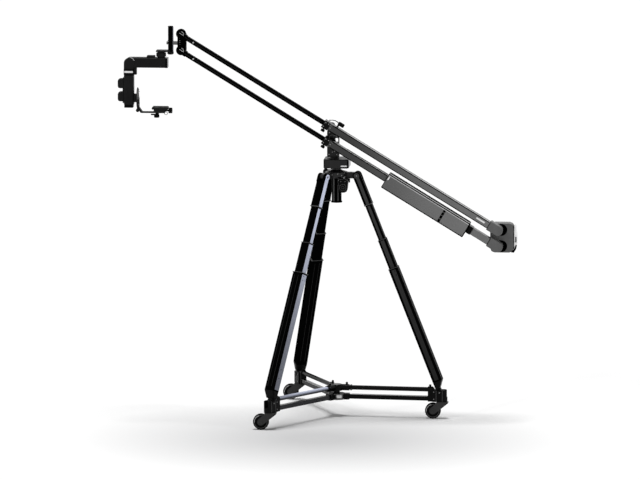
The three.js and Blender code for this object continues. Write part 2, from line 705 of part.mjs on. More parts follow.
function casterFork() {
  const inner = WHEEL_WIDTH / 2 + FORK_SIDE_GAP;
  const plateWidth = 2 * (inner + FORK_THICKNESS);
  const topPlate = block(FORK_TOP_FRONT + FORK_TOP_BACK, plateWidth, FORK_TOP_THICKNESS,
    (FORK_TOP_FRONT - FORK_TOP_BACK) / 2, 0, FORK_TOP - FORK_TOP_THICKNESS / 2);
  const reach = Math.atan2(FORK_TOP - WHEEL_RADIUS, CASTER_TRAIL);
  const edge = new THREE.Vector2(-Math.sin(reach), Math.cos(reach)).multiplyScalar(FORK_BLADE_RADIUS);
  const blade = new THREE.Shape();
  blade.moveTo(FORK_TOP_FRONT, FORK_TOP);
  blade.lineTo(-FORK_TOP_BACK, FORK_TOP);
  blade.lineTo(-FORK_TOP_BACK, FORK_TOP - FORK_TOP_THICKNESS);
  blade.lineTo(-CASTER_TRAIL + edge.x, WHEEL_RADIUS + edge.y);
  blade.absarc(-CASTER_TRAIL, WHEEL_RADIUS, FORK_BLADE_RADIUS, reach + Math.PI / 2,
    reach + 1.5 * Math.PI);
  blade.lineTo(FORK_TOP_FRONT, FORK_TOP - FORK_TOP_THICKNESS);
  const blades = [-1, 1].map((side) => acrossY(
    straightExtrusion(blade, FORK_THICKNESS, ROUND_END_SEGMENTS),
    FORK_THICKNESS,
    side * (inner + FORK_THICKNESS / 2),
  ));
  const axle = cylinder(AXLE_RADIUS, plateWidth, 'y', -CASTER_TRAIL, 0, WHEEL_RADIUS, SMALL_SEGMENTS);
  const heads = [-1, 1].map((side) => cylinder(AXLE_HEAD_RADIUS, AXLE_HEAD_HEIGHT + BITE, 'y',
    -CASTER_TRAIL, side * (plateWidth + AXLE_HEAD_HEIGHT - BITE) / 2, WHEEL_RADIUS, SMALL_SEGMENTS));
  const stem = cylinder(STEM_RADIUS, STEM_LENGTH + FORK_TOP_THICKNESS / 2, 'z', 0, 0,
    FORK_TOP + (STEM_LENGTH - FORK_TOP_THICKNESS / 2) / 2);
  return join(topPlate, ...blades, axle, ...heads, stem);
}

// Wheel: a crowned tread with recessed sides, turned about its axle
function casterWheel() {
  const half = WHEEL_WIDTH / 2;
  const bore = AXLE_RADIUS + RUN;
  const wheel = new THREE.LatheGeometry([
    [bore, -half + WHEEL_RECESS_DEPTH],
    [WHEEL_RECESS_RADIUS, -half + WHEEL_RECESS_DEPTH],
    [WHEEL_RECESS_RADIUS, -half],
    [WHEEL_RADIUS - WHEEL_CROWN, -half],
    [WHEEL_RADIUS, -half + WHEEL_CROWN],
    [WHEEL_RADIUS, half - WHEEL_CROWN],
    [WHEEL_RADIUS - WHEEL_CROWN, half],
    [WHEEL_RECESS_RADIUS, half],
    [WHEEL_RECESS_RADIUS, half - WHEEL_RECESS_DEPTH],
    [bore, half - WHEEL_RECESS_DEPTH],
    [bore, -half + WHEEL_RECESS_DEPTH],
  ].map(([radius, along]) => new THREE.Vector2(radius, along)), ROUND_SEGMENTS);
  return join(wheel).translate(-CASTER_TRAIL, 0, WHEEL_RADIUS);
}

// All casters trail the same way, towards the head end, so they are not turned with their arms.
function caster(name, index) {
  const turn = ARM_TURN + index * ARM_STEP;
  const holder = group(
    piece(`caster_fork_${name}`, casterFork(), FINISHES.darkGrey),
    piece(`caster_wheel_${name}`, casterWheel(), FINISHES.rubber),
  );
  holder.position.set(SWIVEL_RADIUS * Math.cos(turn), SWIVEL_RADIUS * Math.sin(turn), 0);
  return holder;
}

// Leg sections, along +Z from the ankle pin, with X pointing away from the tripod's axis
function legFoot() {
  const tongue = cylinder(FOOT_NECK_WIDTH / 2, FOOT_NECK_WIDTH, 'y');
  const neck = block(FOOT_NECK_WIDTH, FOOT_NECK_WIDTH, FOOT_CONE_START + BITE, 0, 0,
    (FOOT_CONE_START + BITE) / 2);
  const cone = taperedBar(FOOT_CONE_BELOW, 0, LEG_OUTER, LEG_SET_OUT, FOOT_CONE_START, FOOT_CONE_END);
  const plug = taperedBar(LEG_MIDDLE, LEG_SET_OUT, LEG_MIDDLE, LEG_SET_OUT, FOOT_CONE_END - BITE,
    FOOT_CONE_END + FOOT_PLUG_LENGTH);
  return cut(join(tongue, neck, cone, plug),
    cylinder(ANKLE_PIN_RADIUS + RUN, FOOT_NECK_WIDTH + OVERRUN, 'y'));
}

function legTube(section, bore, slack, bottom, top) {
  const outline = sectionOutline(section, 0, LEG_SET_OUT);
  outline.holes.push(sectionOutline(bore, slack, LEG_SET_OUT));
  return straightExtrusion(outline, top - bottom).translate(0, 0, bottom);
}

function legOuter() {
  return legTube(LEG_OUTER, LEG_MIDDLE, RUN, FOOT_CONE_END + SEAT, LEG_OUTER_TOP);
}

function legMiddle() {
  return legTube(LEG_MIDDLE, LEG_INNER, RUN, LEG_OUTER_TOP - LEG_OVERLAP, LEG_MIDDLE_TOP);
}

// Top section: the thinnest tube with the hinge fork on its upper end
function legTop() {
  const tube = legTube(LEG_INNER, LEG_INNER, -LEG_INNER_WALL, LEG_MIDDLE_TOP - LEG_OVERLAP,
    LEG_FORK_BOTTOM + BITE);
  const core = taperedBar(FORK_HEAD, LEG_SET_OUT, FORK_HEAD, LEG_SET_OUT, LEG_FORK_BOTTOM,
    LEG_FORK_CORE_TOP);
  const cheekOutline = tongueOutline(FORK_HEAD.depth / 2, LEG_LENGTH - LEG_FORK_CORE_TOP + BITE);
  const cheekMiddle = (LUG_THICKNESS + 2 * RUN + FORK_CHEEK) / 2;
  const cheeks = [-1, 1].map((side) => acrossY(
    straightExtrusion(cheekOutline, FORK_CHEEK, ROUND_END_SEGMENTS).rotateZ(-Math.PI / 2),
    FORK_CHEEK,
    side * cheekMiddle,
  ).translate(LEG_SET_OUT, 0, LEG_LENGTH));
  const hole = cylinder(HINGE_PIN_RADIUS + HINGE_PIN_FREEDOM,
    LUG_THICKNESS + 2 * FORK_CHEEK + 2 * OVERRUN, 'y', LEG_SET_OUT, 0, LEG_LENGTH);
  return cut(join(tube, core, ...cheeks), hole);
}

function leg(name, index) {
  const parts = group(
    piece(`leg_foot_${name}`, legFoot(), FINISHES.blackSatin),
    piece(`leg_outer_${name}`, legOuter(), FINISHES.blackGloss),
    piece(`leg_middle_${name}`, legMiddle(), FINISHES.blackGloss),
    piece(`leg_top_${name}`, legTop(), FINISHES.blackGloss),
  );
  parts.position.set(ANKLE_RADIUS, 0, ANKLE_HEIGHT);
  parts.rotation.y = -LEG_LEAN;
  return armHolder(index, parts);
}

// Crown: the turned body, three hinge lugs with their pins, and the pan shaft
function crown() {
  const body = turned([
    [0, CROWN_BOTTOM],
    [CROWN_RADIUS - CROWN_CHAMFER, CROWN_BOTTOM],
    [CROWN_RADIUS, CROWN_BOTTOM + CROWN_CHAMFER],
    [CROWN_RADIUS, CROWN_TOP - CROWN_CHAMFER],
    [CROWN_NECK_RADIUS + CROWN_CHAMFER, CROWN_TOP],
    [CROWN_NECK_RADIUS, CROWN_TOP + CROWN_CHAMFER / 2],
    [CROWN_NECK_RADIUS, BASE_BOTTOM - SEAT],
    [PAN_SHAFT_RADIUS, BASE_BOTTOM - SEAT],
    [PAN_SHAFT_RADIUS, BASE_BOTTOM + PAN_SHAFT_LENGTH],
    [0, BASE_BOTTOM + PAN_SHAFT_LENGTH],
  ]);
  const lugLength = HINGE_RADIUS - CROWN_RADIUS + 2 * CROWN_CHAMFER;
  const pinHalf = LUG_THICKNESS / 2 + RUN + FORK_CHEEK + SEAT;
  const lug = () => join(
    acrossY(
      straightExtrusion(tongueOutline(LUG_RADIUS, lugLength), LUG_THICKNESS, ROUND_END_SEGMENTS)
        .rotateZ(Math.PI),
      LUG_THICKNESS,
    ).translate(HINGE_RADIUS, 0, HINGE_HEIGHT),
    cylinder(HINGE_PIN_RADIUS, 2 * pinHalf + HINGE_CAP_HEIGHT, 'y', HINGE_RADIUS, 0, HINGE_HEIGHT,
      SMALL_SEGMENTS),
    ...[-1, 1].map((side) => cylinder(HINGE_CAP_RADIUS, HINGE_CAP_HEIGHT, 'y', HINGE_RADIUS,
      side * (pinHalf + HINGE_CAP_HEIGHT / 2), HINGE_HEIGHT, SMALL_SEGMENTS)),
  );
  const socket = cylinder(COLUMN_SPIGOT_RADIUS + RUN, COLUMN_SPIGOT_LENGTH + SEAT + OVERRUN, 'z',
    0, 0, CROWN_BOTTOM + (COLUMN_SPIGOT_LENGTH + SEAT - OVERRUN) / 2);
  return cut(join(body, ...aroundHub(lug)), socket);
}

// Centre column: a hanging tube with a bottom flange and a raised rail down its front
function centreColumn() {
  const top = CROWN_BOTTOM - SEAT;
  const body = turned([
    [0, COLUMN_BOTTOM],
    [COLUMN_FLANGE_RADIUS, COLUMN_BOTTOM],
    [COLUMN_FLANGE_RADIUS, COLUMN_BOTTOM + COLUMN_FLANGE_HEIGHT],
    [COLUMN_RADIUS, COLUMN_BOTTOM + COLUMN_FLANGE_HEIGHT],
    [COLUMN_RADIUS, top],
    [COLUMN_SPIGOT_RADIUS, top],
    [COLUMN_SPIGOT_RADIUS, top + COLUMN_SPIGOT_LENGTH],
    [0, top + COLUMN_SPIGOT_LENGTH],
  ]);
  const railHeight = top - COLUMN_BOTTOM - COLUMN_FLANGE_HEIGHT + BITE;
  const strip = block(COLUMN_RAIL_WIDTH, COLUMN_RAIL_PROUD + COLUMN_RAIL_WIDTH / 2, railHeight,
    0, -COLUMN_RADIUS + COLUMN_RAIL_WIDTH / 4 - COLUMN_RAIL_PROUD / 2, top - railHeight / 2);
  return join(body, strip);
}

// Control box: a small housing that narrows downwards and ends in a round bottom
function controlBox() {
  const top = CROWN_BOTTOM - SEAT;
  const half = CONTROL_WIDTH / 2;
  const low = half - CONTROL_TAPER;
  const outline = new THREE.Shape();
  outline.moveTo(-half, 0);
  outline.lineTo(-low, -CONTROL_HEIGHT + CONTROL_CORNER);
  outline.absarc(-low + CONTROL_CORNER, -CONTROL_HEIGHT + CONTROL_CORNER, CONTROL_CORNER, Math.PI,
    1.5 * Math.PI);
  outline.absarc(low - CONTROL_CORNER, -CONTROL_HEIGHT + CONTROL_CORNER, CONTROL_CORNER,
    1.5 * Math.PI, 2 * Math.PI);
  outline.lineTo(half, 0);
  const middle = CONTROL_FRONT + CONTROL_DEPTH / 2;
  const body = acrossY(softExtrusion(outline, CONTROL_DEPTH, BASE_EDGE), CONTROL_DEPTH, middle);
  const faceWidth = CONTROL_WIDTH - 2 * CONTROL_FACE_INSET;
  const faceHeight = CONTROL_HEIGHT - CONTROL_SCREW_DROP - 2 * CONTROL_FACE_INSET;
  const face = acrossY(
    softExtrusion(roundedRectangle(faceWidth, faceHeight, CONTROL_CORNER / 2, 0,
      -CONTROL_HEIGHT + CONTROL_FACE_INSET + faceHeight / 2), CONTROL_FACE_PROUD + BITE, BITE),
    CONTROL_FACE_PROUD + BITE,
    CONTROL_FRONT - (CONTROL_FACE_PROUD - BITE) / 2,
  );
  const screws = [-1, 1].map((side) => cylinder(CONTROL_SCREW_RADIUS, CONTROL_SCREW_PROUD + BITE, 'y',
    side * CONTROL_SCREW_SPREAD, CONTROL_FRONT - (CONTROL_SCREW_PROUD - BITE) / 2,
    -CONTROL_SCREW_DROP, SMALL_SEGMENTS));
  const tab = block(BRACKET_THICKNESS + BITE, BRACKET_WIDTH, BRACKET_HEIGHT,
    half + (BRACKET_THICKNESS - BITE) / 2, middle, -BRACKET_HEIGHT / 2 - SEAT);
  return join(body, face, ...screws, tab).translate(CONTROL_X, 0, top);
}

// Pan base: a square housing with a round seat for the mast and a bore for the pan shaft
function panBase() {
  const housing = softExtrusion(roundedRectangle(BASE_WIDTH, BASE_WIDTH, BASE_CORNER), BASE_HEIGHT,
    BASE_EDGE).translate(0, 0, BASE_BOTTOM);
  const seat = cylinder(MAST_FOOT_RADIUS, MAST_FOOT_HEIGHT + BITE, 'z', MAST_FOOT_X, 0,
    BASE_TOP + (MAST_FOOT_HEIGHT - BITE) / 2);
  const bore = cylinder(PAN_SHAFT_RADIUS + RUN, PAN_SHAFT_LENGTH + SEAT + OVERRUN, 'z', 0, 0,
    BASE_BOTTOM + (PAN_SHAFT_LENGTH + SEAT - OVERRUN) / 2);
  return cut(join(housing, seat), bore);
}

// Mast: a thick plate with a round top, a window between the pivots and two pivot bores
function mast() {
  const upper = PIVOT_LOWER_HEIGHT + PIVOT_SPACING;
  const outline = new THREE.Shape();
  outline.moveTo(MAST_LEFT, MAST_BASE + SEAT);
  outline.lineTo(MAST_RIGHT, MAST_BASE + SEAT);
  outline.lineTo(MAST_RIGHT, upper - MAST_SHOULDER_DROP);
  outline.lineTo(MAST_PIVOT_X + MAST_TOP_RADIUS, upper);
  outline.absarc(MAST_PIVOT_X, upper, MAST_TOP_RADIUS, 0, Math.PI);
  outline.lineTo(MAST_LEFT, upper - MAST_SHOULDER_DROP);
  const plate = acrossY(softExtrusion(outline, MAST_THICKNESS, MAST_EDGE, ROUND_END_SEGMENTS),
    MAST_THICKNESS);
  const window = acrossY(
    straightExtrusion(roundedRectangle(MAST_WINDOW_WIDTH, MAST_WINDOW_HEIGHT, MAST_EDGE,
      MAST_WINDOW_X, PIVOT_LOWER_HEIGHT + MAST_WINDOW_ABOVE_PIVOT + MAST_WINDOW_HEIGHT / 2),
    MAST_THICKNESS + 2 * OVERRUN),
    MAST_THICKNESS + 2 * OVERRUN,
  );
  const bores = [PIVOT_LOWER_HEIGHT, upper].map((height) => cylinder(PIVOT_STUB_RADIUS + RUN,
    MAST_THICKNESS + 2 * OVERRUN, 'y', MAST_PIVOT_X, 0, height));
  return cut(plate, window, ...bores);
}

// Rear beam: a box section that the front tube slides in, with a split clamp at its front end
function rearBeam() {
  const outline = chamferedRectangle(BEAM_DEPTH, BEAM_HEIGHT, BEAM_EDGE, BEAM_MIDDLE);
  const boreWidth = TUBE_DEPTH + 2 * RUN;
  const boreHeight = TUBE_HEIGHT + 2 * RUN;
  const end = REAR_REACH - SOCKET_LENGTH - SEAT;
  outline.holes.push(chamferedRectangle(boreWidth, boreHeight, TUBE_EDGE, BEAM_MIDDLE));
  const beam = alongX(straightExtrusion(outline, BEAM_FRONT + end), -BEAM_FRONT);
  const band = chamferedRectangle(BEAM_DEPTH + CLAMP_PROUD, BEAM_HEIGHT + 2 * CLAMP_PROUD, BEAM_EDGE,
    BEAM_MIDDLE - CLAMP_PROUD / 2);
  band.holes.push(chamferedRectangle(boreWidth, boreHeight, TUBE_EDGE, BEAM_MIDDLE));
  const clamp = alongX(straightExtrusion(band, CLAMP_LENGTH), -BEAM_FRONT - BITE);
  const slit = block(CLAMP_LENGTH + OVERRUN, CLAMP_SLIT, BEAM_HEIGHT / 2 + CLAMP_PROUD + OVERRUN,
    -BEAM_FRONT + (CLAMP_LENGTH - OVERRUN) / 2, BEAM_MIDDLE,
    -(BEAM_HEIGHT / 2 + CLAMP_PROUD + OVERRUN) / 2);
  const pivotHole = cylinder(PIVOT_NOSE_RADIUS + RUN, PIVOT_NOSE_LENGTH + SEAT + OVERRUN, 'y', 0,
    BEAM_BACK - (PIVOT_NOSE_LENGTH + SEAT - OVERRUN) / 2, 0);
  return cut(join(beam, clamp), slit, pivotHole);
}

// Front tube: a rounded box tube with a round knuckle on its front end
function frontTube() {
  const outline = chamferedRectangle(TUBE_DEPTH, TUBE_HEIGHT, TUBE_EDGE, BEAM_MIDDLE);
  outline.holes.push(chamferedRectangle(TUBE_DEPTH - 2 * TUBE_WALL, TUBE_HEIGHT - 2 * TUBE_WALL,
    TUBE_EDGE / 2, BEAM_MIDDLE));
  const start = -FRONT_REACH + KNUCKLE_LENGTH - BITE;
  const tube = alongX(straightExtrusion(outline, TUBE_OVERLAP - start), start);
  const knuckle = acrossY(
    softExtrusion(tongueOutline(KNUCKLE_RADIUS, KNUCKLE_LENGTH), TUBE_DEPTH, HEAD_EDGE / 2,
      ROUND_END_SEGMENTS),
    TUBE_DEPTH,
    BEAM_MIDDLE,
  ).translate(-FRONT_REACH, 0, 0);
  const pinHole = cylinder(FRONT_STUB_RADIUS + RUN, TUBE_DEPTH + 2 * OVERRUN, 'y', -FRONT_REACH,
    BEAM_MIDDLE, 0);
  return cut(join(tube, knuckle), pinHole);
}

// Mast pivot: a bearing disc behind the beam, a nose in the beam and a capped stub in the mast
function mastPivot() {
  const stubEnd = MAST_THICKNESS / 2 + SEAT + PIVOT_CAP_HEIGHT;
  const discLength = BEAM_GAP_TO_MAST - 2 * SEAT;
  return join(
    cylinder(PIVOT_DISC_RADIUS, discLength, 'y', 0, BEAM_BACK + BEAM_GAP_TO_MAST / 2, 0),
    cylinder(PIVOT_NOSE_RADIUS, PIVOT_NOSE_LENGTH + BITE, 'y', 0,
      BEAM_BACK + SEAT - (PIVOT_NOSE_LENGTH - BITE) / 2, 0, SMALL_SEGMENTS),
    cylinder(PIVOT_STUB_RADIUS, stubEnd - BEAM_BACK - BEAM_GAP_TO_MAST / 2, 'y', 0,
      (stubEnd + BEAM_BACK + BEAM_GAP_TO_MAST / 2) / 2, 0),
    cylinder(PIVOT_CAP_RADIUS, PIVOT_CAP_HEIGHT, 'y', 0, stubEnd - PIVOT_CAP_HEIGHT / 2, 0),
  );
}

// Rear socket: the round-ended block on the beam's end, with its plug and its pin through the link
function rearSocket() {
  const body = acrossY(
    softExtrusion(tongueOutline(SOCKET_RADIUS, SOCKET_LENGTH), BEAM_DEPTH, BASE_EDGE, ROUND_END_SEGMENTS)
      .rotateZ(Math.PI),
    BEAM_DEPTH,
    BEAM_MIDDLE,
  );
  const plug = alongX(
    straightExtrusion(chamferedRectangle(TUBE_DEPTH, TUBE_HEIGHT, TUBE_EDGE, BEAM_MIDDLE),
      SOCKET_PLUG_LENGTH + BITE),
    -SOCKET_LENGTH - SOCKET_PLUG_LENGTH,
  );
  const pin = cylinder(SOCKET_PIN_RADIUS, SOCKET_PIN_LENGTH + BITE, 'y', 0,
    BEAM_BACK + (SOCKET_PIN_LENGTH - BITE) / 2, 0);
  return join(body, plug, pin);
}

// Drive housing: a long box around the lower beam with a groove across it near its rear end
function driveHousing() {
  const top = BEAM_HEIGHT / 2 + HOUSING_ABOVE_BEAM;
  const centre = top - HOUSING_HEIGHT / 2;
  const middle = HOUSING_BACK - HOUSING_DEPTH / 2;
  const outline = chamferedRectangle(HOUSING_DEPTH, HOUSING_HEIGHT, HOUSING_CORNER, middle, centre);
  const box = alongX(softExtrusion(outline, HOUSING_LENGTH, BASE_EDGE), HOUSING_START);
  const tunnel = block(HOUSING_LENGTH + 2 * OVERRUN, BEAM_DEPTH + 2 * SEAT, BEAM_HEIGHT + 2 * SEAT,
    HOUSING_START + HOUSING_LENGTH / 2, BEAM_MIDDLE, 0);
  const seamAt = HOUSING_START + HOUSING_LENGTH * HOUSING_SEAM_SHARE;
  const seam = block(HOUSING_SEAM_WIDTH, HOUSING_SEAM_DEPTH + OVERRUN, HOUSING_HEIGHT - 2 * HOUSING_CORNER,
    seamAt, middle - HOUSING_DEPTH / 2 + (HOUSING_SEAM_DEPTH - OVERRUN) / 2, centre);
  return cut(box, tunnel, seam);
}

// A fluted hand knob that hangs below a beam's clamp on its stem
function clampKnob() {
  const top = -BEAM_HEIGHT / 2 - CLAMP_PROUD - SEAT;
  const stemLength = KNOB_STEM_LENGTH + KNOB_HEAD_HEIGHT;
  const stem = cylinder(KNOB_STEM_RADIUS, stemLength, 'z', 0, 0, top - stemLength / 2, SMALL_SEGMENTS);
  const headMiddle = top - KNOB_STEM_LENGTH - KNOB_HEAD_HEIGHT / 2;
  const head = cylinder(KNOB_HEAD_RADIUS, KNOB_HEAD_HEIGHT, 'z', 0, 0, headMiddle);
  const flutes = Array.from({ length: KNOB_LOBES }, (_, i) => {
    const turn = (i + 0.5) * 2 * Math.PI / KNOB_LOBES;
    const reach = KNOB_HEAD_RADIUS + KNOB_FLUTE_RADIUS / 2;
    return cylinder(KNOB_FLUTE_RADIUS, KNOB_HEAD_HEIGHT + 2 * OVERRUN, 'z', reach * Math.cos(turn),
      reach * Math.sin(turn), headMiddle, SMALL_SEGMENTS);
  });
  return join(stem, cut(head, ...flutes));
}

// Top lock: a block handle on a short neck, with a thin bow that runs forward over the beam
function topLock() {
  const bottom = BEAM_HEIGHT / 2 + SEAT;
  const neck = cylinder(KNOB_STEM_RADIUS, TOP_LOCK_NECK + BITE, 'z', 0, 0,
    bottom + (TOP_LOCK_NECK + BITE) / 2, SMALL_SEGMENTS);
  const handle = acrossY(
    softExtrusion(roundedRectangle(TOP_LOCK_LENGTH, TOP_LOCK_HEIGHT, TOP_LOCK_CORNER, TOP_LOCK_SHIFT,
      bottom + TOP_LOCK_NECK + TOP_LOCK_HEIGHT / 2), TOP_LOCK_WIDTH, MAST_EDGE),
    TOP_LOCK_WIDTH,
  );
  const height = bottom + TOP_LOCK_NECK + TOP_LOCK_HEIGHT / 2;
  const start = TOP_LOCK_SHIFT - TOP_LOCK_LENGTH / 2 + MAST_EDGE;
  const outline = new THREE.Shape();
  outline.moveTo(start, height - BOW_HALF);
  outline.lineTo(start, height + BOW_HALF);
  outline.quadraticCurveTo(-BOW_REACH / 2, height + BOW_RISE + BOW_HALF, -BOW_REACH,
    height - BOW_DROP + BOW_HALF);
  outline.lineTo(-BOW_REACH, height - BOW_DROP - BOW_HALF);
  outline.quadraticCurveTo(-BOW_REACH / 2, height + BOW_RISE - BOW_HALF, start, height - BOW_HALF);
  const bow = acrossY(straightExtrusion(outline, 2 * BOW_HALF, ROUND_END_SEGMENTS), 2 * BOW_HALF);
  const tip = new THREE.SphereGeometry(BOW_TIP_RADIUS, SMALL_SEGMENTS / 2, SMALL_SEGMENTS / 2)
    .translate(-BOW_REACH, 0, height - BOW_DROP);
  return join(neck, handle, bow, tip);
}

// Rear link: the upright plate behind both rear sockets
function rearLink() {
  const width = REAR_LINK_LEFT + REAR_LINK_RIGHT;
  const height = REAR_LINK_BELOW + PIVOT_SPACING + REAR_LINK_ABOVE;
  const outline = roundedRectangle(width, height, REAR_LINK_CORNER,
    (REAR_LINK_RIGHT - REAR_LINK_LEFT) / 2, (PIVOT_SPACING + REAR_LINK_ABOVE - REAR_LINK_BELOW) / 2);
  const plate = acrossY(softExtrusion(outline, REAR_LINK_DEPTH, REAR_LINK_EDGE), REAR_LINK_DEPTH,
    LINK_FRONT + REAR_LINK_DEPTH / 2);
  const boreDepth = SOCKET_PIN_LENGTH + SEAT + OVERRUN;
  const bores = [0, PIVOT_SPACING].map((rise) => cylinder(SOCKET_PIN_RADIUS + RUN, boreDepth, 'y', 0,
    BEAM_BACK + SOCKET_PIN_LENGTH + SEAT - boreDepth / 2, rise));
  return cut(plate, ...bores);
}

// Rear cover: a bowed shell on the rear link's outer edge
function rearCover() {
  const start = REAR_LINK_RIGHT + SEAT;
  const bottom = -REAR_LINK_BELOW + COVER_BOTTOM_INSET;
  const top = PIVOT_SPACING + REAR_LINK_ABOVE - COVER_TOP_INSET;
  const outline = new THREE.Shape();
  outline.moveTo(start, bottom);
  outline.bezierCurveTo(
    start + COVER_BULGE,
    bottom - COVER_TOP_INSET,
    start + COVER_BELLY,
    bottom + (top - bottom) * COVER_LOW_SHARE,
    start + COVER_TOP_WIDTH,
    top,
  );
  outline.lineTo(start, top);
  const depth = REAR_LINK_DEPTH - 2 * COVER_SIDE_INSET;
  return acrossY(softExtrusion(outline, depth, COVER_EDGE, ROUND_END_SEGMENTS), depth,
    LINK_FRONT + REAR_LINK_DEPTH / 2);
}

// Front link: the small upright plate behind both knuckles, with a boss and a capped pin for each
function frontLink() {
  const width = FRONT_LINK_LEFT + FRONT_LINK_RIGHT;
  const height = FRONT_LINK_BELOW + PIVOT_SPACING + FRONT_LINK_ABOVE;
  const outline = roundedRectangle(width, height, FRONT_LINK_CORNER,
    (FRONT_LINK_RIGHT - FRONT_LINK_LEFT) / 2,
    (PIVOT_SPACING + FRONT_LINK_ABOVE - FRONT_LINK_BELOW) / 2);
  const plate = acrossY(softExtrusion(outline, FRONT_LINK_DEPTH, REAR_LINK_EDGE), FRONT_LINK_DEPTH,
    LINK_FRONT + FRONT_LINK_DEPTH / 2);
  const tenonHole = cylinder(SPIGOT_TENON_RADIUS + RUN, SPIGOT_TENON_DEPTH + SEAT + OVERRUN, 'x',
    -FRONT_LINK_LEFT + (SPIGOT_TENON_DEPTH + SEAT - OVERRUN) / 2, LINK_MIDDLE, SPIGOT_RISE);
  const screws = Array.from({ length: LINK_SCREW_COUNT }, (_, i) => cylinder(LINK_SCREW_RADIUS,
    LINK_SCREW_PROUD + BITE, 'y', -LINK_SCREW_X, LINK_FRONT - (LINK_SCREW_PROUD - BITE) / 2,
    PIVOT_SPACING / 2 + (i - (LINK_SCREW_COUNT - 1) / 2) * LINK_SCREW_PITCH, SMALL_SEGMENTS));
  const capFace = BEAM_MIDDLE - TUBE_DEPTH / 2 - SEAT;
  const bossLength = LINK_FRONT - TUBE_BACK - SEAT + BITE;
  const pins = [0, PIVOT_SPACING].map((rise) => join(
    cylinder(FRONT_DISC_RADIUS, bossLength, 'y', 0, LINK_FRONT + BITE - bossLength / 2, 0),
    cylinder(FRONT_STUB_RADIUS, LINK_FRONT - capFace + BITE, 'y', 0, (LINK_FRONT + capFace - BITE) / 2,
      0, SMALL_SEGMENTS),
    cylinder(FRONT_CAP_RADIUS, FRONT_CAP_HEIGHT, 'y', 0, capFace - FRONT_CAP_HEIGHT / 2, 0),
  ).translate(0, 0, rise));
  return join(cut(plate, tenonHole), ...screws, ...pins);
}

// Head spigot: a tenon in the front link, a collar, and a bolt with a nut through the post
function headSpigot() {
  const linkFace = -FRONT_LINK_LEFT - SEAT;
  const postFace = POST_X + POST_RADIUS + SEAT;
  const farFace = POST_X - POST_RADIUS - SEAT;
  const tenonEnd = -FRONT_LINK_LEFT + SPIGOT_TENON_DEPTH;
  const nutEnd = farFace - SPIGOT_NUT_HEIGHT;
  return join(
    cylinder(SPIGOT_RADIUS, linkFace - postFace, 'x', (linkFace + postFace) / 2),
    cylinder(SPIGOT_TENON_RADIUS, tenonEnd - postFace - BITE, 'x', (tenonEnd + postFace + BITE) / 2,
      0, 0, SMALL_SEGMENTS),
    cylinder(SPIGOT_BOLT_RADIUS, postFace + BITE - nutEnd, 'x', (postFace + BITE + nutEnd) / 2, 0, 0,
      SMALL_SEGMENTS),
    cylinder(SPIGOT_NUT_RADIUS, SPIGOT_NUT_HEIGHT, 'x', (farFace + nutEnd) / 2, 0, 0, SMALL_SEGMENTS),
  ).translate(0, LINK_MIDDLE, SPIGOT_RISE);
}

// Post: an open tube that hangs on the spigot's bolt
function headPost() {
  const length = POST_ABOVE_SPIGOT + POST_BELOW_SPIGOT;
  const tube = straightExtrusion(ring(POST_RADIUS, POST_RADIUS - POST_WALL), length,
    SMALL_SEGMENTS / 2).translate(0, 0, -POST_BELOW_SPIGOT);
  const hole = cylinder(SPIGOT_BOLT_RADIUS + RUN, 2 * POST_RADIUS + 2 * OVERRUN, 'x');
  return cut(tube, hole).translate(POST_X, LINK_MIDDLE, SPIGOT_RISE);
}

// Head foot: a ring round the post's lower end and a flat plate that reaches over the pan drum
function headFoot() {
  const plateBottom = FOOT_PLATE_TOP - FOOT_PLATE_THICKNESS;
  const plate = softExtrusion(
    chamferedRectangle(FOOT_PLATE_LENGTH, FOOT_PLATE_WIDTH, FOOT_PLATE_CORNER,
      POST_X - FOOT_PLATE_LENGTH / 2),
    FOOT_PLATE_THICKNESS,
    HEAD_EDGE / 2,
  ).translate(0, 0, plateBottom);
  const clamp = cylinder(POST_RADIUS + FOOT_RING_WALL, FOOT_RING_HEIGHT + BITE, 'z', POST_X, 0,
    plateBottom + BITE - (FOOT_RING_HEIGHT + BITE) / 2);
  const drumTop = plateBottom - PAN_NECK_HEIGHT;
  const neck = cylinder(PAN_NECK_RADIUS, PAN_NECK_HEIGHT + 2 * BITE, 'z', PAN_X, 0,
    plateBottom - PAN_NECK_HEIGHT / 2);
  const drum = turned([
    [0, drumTop - PAN_DRUM_HEIGHT],
    [PAN_DRUM_RADIUS - PAN_DRUM_GROOVE, drumTop - PAN_DRUM_HEIGHT],
    [PAN_DRUM_RADIUS, drumTop - PAN_DRUM_HEIGHT + PAN_DRUM_GROOVE],
    [PAN_DRUM_RADIUS, drumTop - PAN_DRUM_GROOVE],
    [PAN_DRUM_RADIUS - PAN_DRUM_GROOVE, drumTop],
    [0, drumTop],
  ]).translate(PAN_X, 0, 0);
  const spindleLength = PAN_NECK_HEIGHT + PAN_SPINDLE_LENGTH + BITE;
  const spindle = cylinder(PAN_SPINDLE_RADIUS, spindleLength, 'z', PAN_X, 0,
    drumTop - PAN_DRUM_HEIGHT + BITE - spindleLength / 2, SMALL_SEGMENTS);
  const lowerNeck = cylinder(PAN_NECK_RADIUS, PAN_NECK_HEIGHT - SEAT + BITE, 'z', PAN_X, 0,
    drumTop - PAN_DRUM_HEIGHT + BITE - (PAN_NECK_HEIGHT - SEAT + BITE) / 2);
  const postHole = cylinder(POST_RADIUS + SEAT, 2 * FOOT_RING_HEIGHT + 2 * FOOT_PLATE_THICKNESS, 'z',
    POST_X, 0, plateBottom);
  return cut(join(plate, clamp, neck, drum, lowerNeck, spindle), postHole)
    .translate(0, LINK_MIDDLE, 0);
}

// Head pieces below are placed from the pan axis, at the level of the arm's top face

